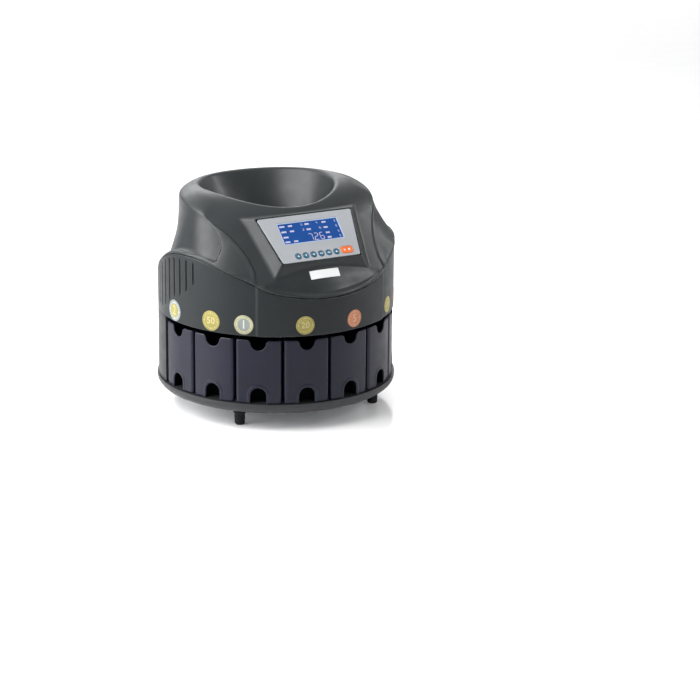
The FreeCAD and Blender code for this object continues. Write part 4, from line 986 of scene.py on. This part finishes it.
for i, (deg, dia, text) in enumerate(COINS):
    R = dia / 2
    r0 = 144.5 if abs(deg) < 34 else 143.0
    seg = 72
    prof = [(0.0, 0.22), (0.35, 0.22), (0.58, 0.22), (0.60, 0.28), (0.63, 0.28), (0.65, 0.22), (0.86, 0.22), (0.885, 0.33), (0.96, 0.34), (0.99, 0.28), (1.0, 0.18), (1.0, -0.05)]
    verts, faces, mats = [(0, 0, prof[0][1])], [], []
    for f, h in prof[1:]:
        verts += [(R * f * math.cos(2 * math.pi * k / seg), R * f * math.sin(2 * math.pi * k / seg), h) for k in range(seg)]
    for ring in range(len(prof) - 1):
        inner = prof[ring + 1][0] <= 0.63
        for k in range(seg):
            j = (k + 1) % seg
            if ring == 0:
                faces.append((0, 1 + k, 1 + j))
            else:
                a, b = 1 + (ring - 1) * seg, 1 + ring * seg
                faces.append((a + k, b + k, b + j, a + j))
            mats.append(1 if inner else 0)
    o = pydata("coin_sticker_%d" % (i + 1), wrap(verts, deg, r0).tolist(), faces)
    o.data.materials.append(MATS[METAL[i][0]])
    o.data.materials.append(MATS[METAL[i][1]])
    for p, m in zip(o.data.polygons, mats):
        p.material_index = m
    rides(sharpen(fix_normals(o), 50), "base", SLOT[NODE[i]], NODE[i])
    v, f = figure_points(text, R * (1.25 if len(text) == 1 else 0.95))
    v[:, 2] = np.where(v[:, 2] > 0, 0.36, 0.15)
    fig = pydata("coin_figure_%d" % (i + 1), wrap(v, deg, r0).tolist(), f, smooth=False)
    paint(fig, METAL[i][1] + "_light")
    rides(fix_normals(fig), "base", SLOT[NODE[i]])
    loops = []
    for k in range(20):
        a = 2 * math.pi * k / 20
        loops.append(circle_loop(R * 0.755 * math.cos(a), R * 0.755 * math.sin(a), R * (0.055 if k % 5 else 0.085), 8))
    vv, ff = [], []
    for loop in loops:
        b, k = len(vv), len(loop)
        vv += [(x, y, 0.15) for x, y in loop] + [(x * 0.995, y * 0.995, 0.33) for x, y in loop]
        ff.append(tuple(range(b + k, b + 2 * k)))
        ff += [(b + q, b + (q + 1) % k, b + k + (q + 1) % k, b + k + q) for q in range(k)]
    dots = pydata("coin_dots_%d" % (i + 1), wrap(vv, deg, r0).tolist(), ff, smooth=False)
    paint(dots, METAL[i][0] + "_light")
    rides(fix_normals(dots), "base", SLOT[NODE[i]])

# ------------------------------------------------- pieces shown as built in CAD
CAD_LOOK = {p["node"]: p["material_slot"] for p in frame["record"]["subparts"]}
replaced = {"upper_cover", "middle_housing", "control_panel", "display_lens", "start_key", "blank_label"} | set(NODE) | {"coin_drawer_%d" % (i + 1) for i in range(8)} | {"panel_key_%d" % (i + 1) for i in range(6)}
for name, obj in nodes.items():
    if name in replaced:
        continue
    paint(obj, CAD_LOOK[name])

# --------------------------------------------------------------- floor, light, camera
fl = pydata("floor", [(-6000, -6000, 0), (6000, -6000, 0), (6000, 6000, 0), (-6000, 6000, 0)], [(0, 1, 2, 3)], smooth=False)
paint(fl, "floor_paint")

world = bpy.context.scene.world or bpy.data.worlds.new("studio")
bpy.context.scene.world = world
world.use_nodes = True
world.node_tree.nodes["Background"].inputs["Color"].default_value = (1.0, 1.0, 1.0, 1.0)
world.node_tree.nodes["Background"].inputs["Strength"].default_value = 0.48


def soft_light(name, place, aim, size, watts, size_y=None):
    li = bpy.data.lights.new(name, "AREA")
    li.energy = watts
    li.shape = "RECTANGLE"
    li.size, li.size_y = size, size_y or size
    o = link(bpy.data.objects.new(name, li))
    o.location = place
    o.rotation_euler = (Vector(aim) - Vector(place)).to_track_quat("-Z", "Y").to_euler()
    return o


soft_light("light_left", (-1.22, 0.19, 1.08), (0, 0, 0.2), 1.35, 62, 2.0)
soft_light("light_right", (1.5, 0.03, 1.06), (0, 0, 0.2), 0.24, 4.2, 0.45)
soft_light("light_right_fill", (1.5, -0.7, 0.35), (0, 0, 0.12), 1.0, 2.5, 0.5)
soft_light("light_front_right", (1.12, -0.94, 1.0), (0, 0, 0.2), 0.3, 6)
soft_light("light_back", (0.5, 1.6, 0.95), (0, 0, 0.2), 1.2, 6)
soft_light("light_floor", (0.9, 3.1, 1.5), (0.9, 3.1, 0.0), 6.0, 76, 2.8)
sky = bpy.data.lights.new("sky_panel", "SUN")
sky.energy, sky.angle = 0.65, math.radians(80)
sky_o = link(bpy.data.objects.new("sky_panel", sky))
sky_o.rotation_euler = Vector((0.1, -0.3, -1.0)).to_track_quat("-Z", "Y").to_euler()

az, el, dist = math.radians(-26.80), math.radians(16.29), 3.2035
back = Vector((math.sin(az) * math.cos(el), -math.cos(az) * math.cos(el), math.sin(el)))
cam_data = bpy.data.cameras.new("camera")
cam = link(bpy.data.objects.new("camera", cam_data))
cam.location = Vector((0, 0, 0.110)) + back * dist
cam.rotation_mode = "QUATERNION"
cam.rotation_quaternion = (-back).to_track_quat("-Z", "Y")
cam_data.sensor_width = 36.0
cam_data.lens = 135.29
cam_data.shift_x, cam_data.shift_y = 0.10597, -0.06041
cam_data.clip_start, cam_data.clip_end = 0.1, 60.0
bpy.context.scene.camera = cam
bpy.context.scene.view_settings.view_transform = "Standard"
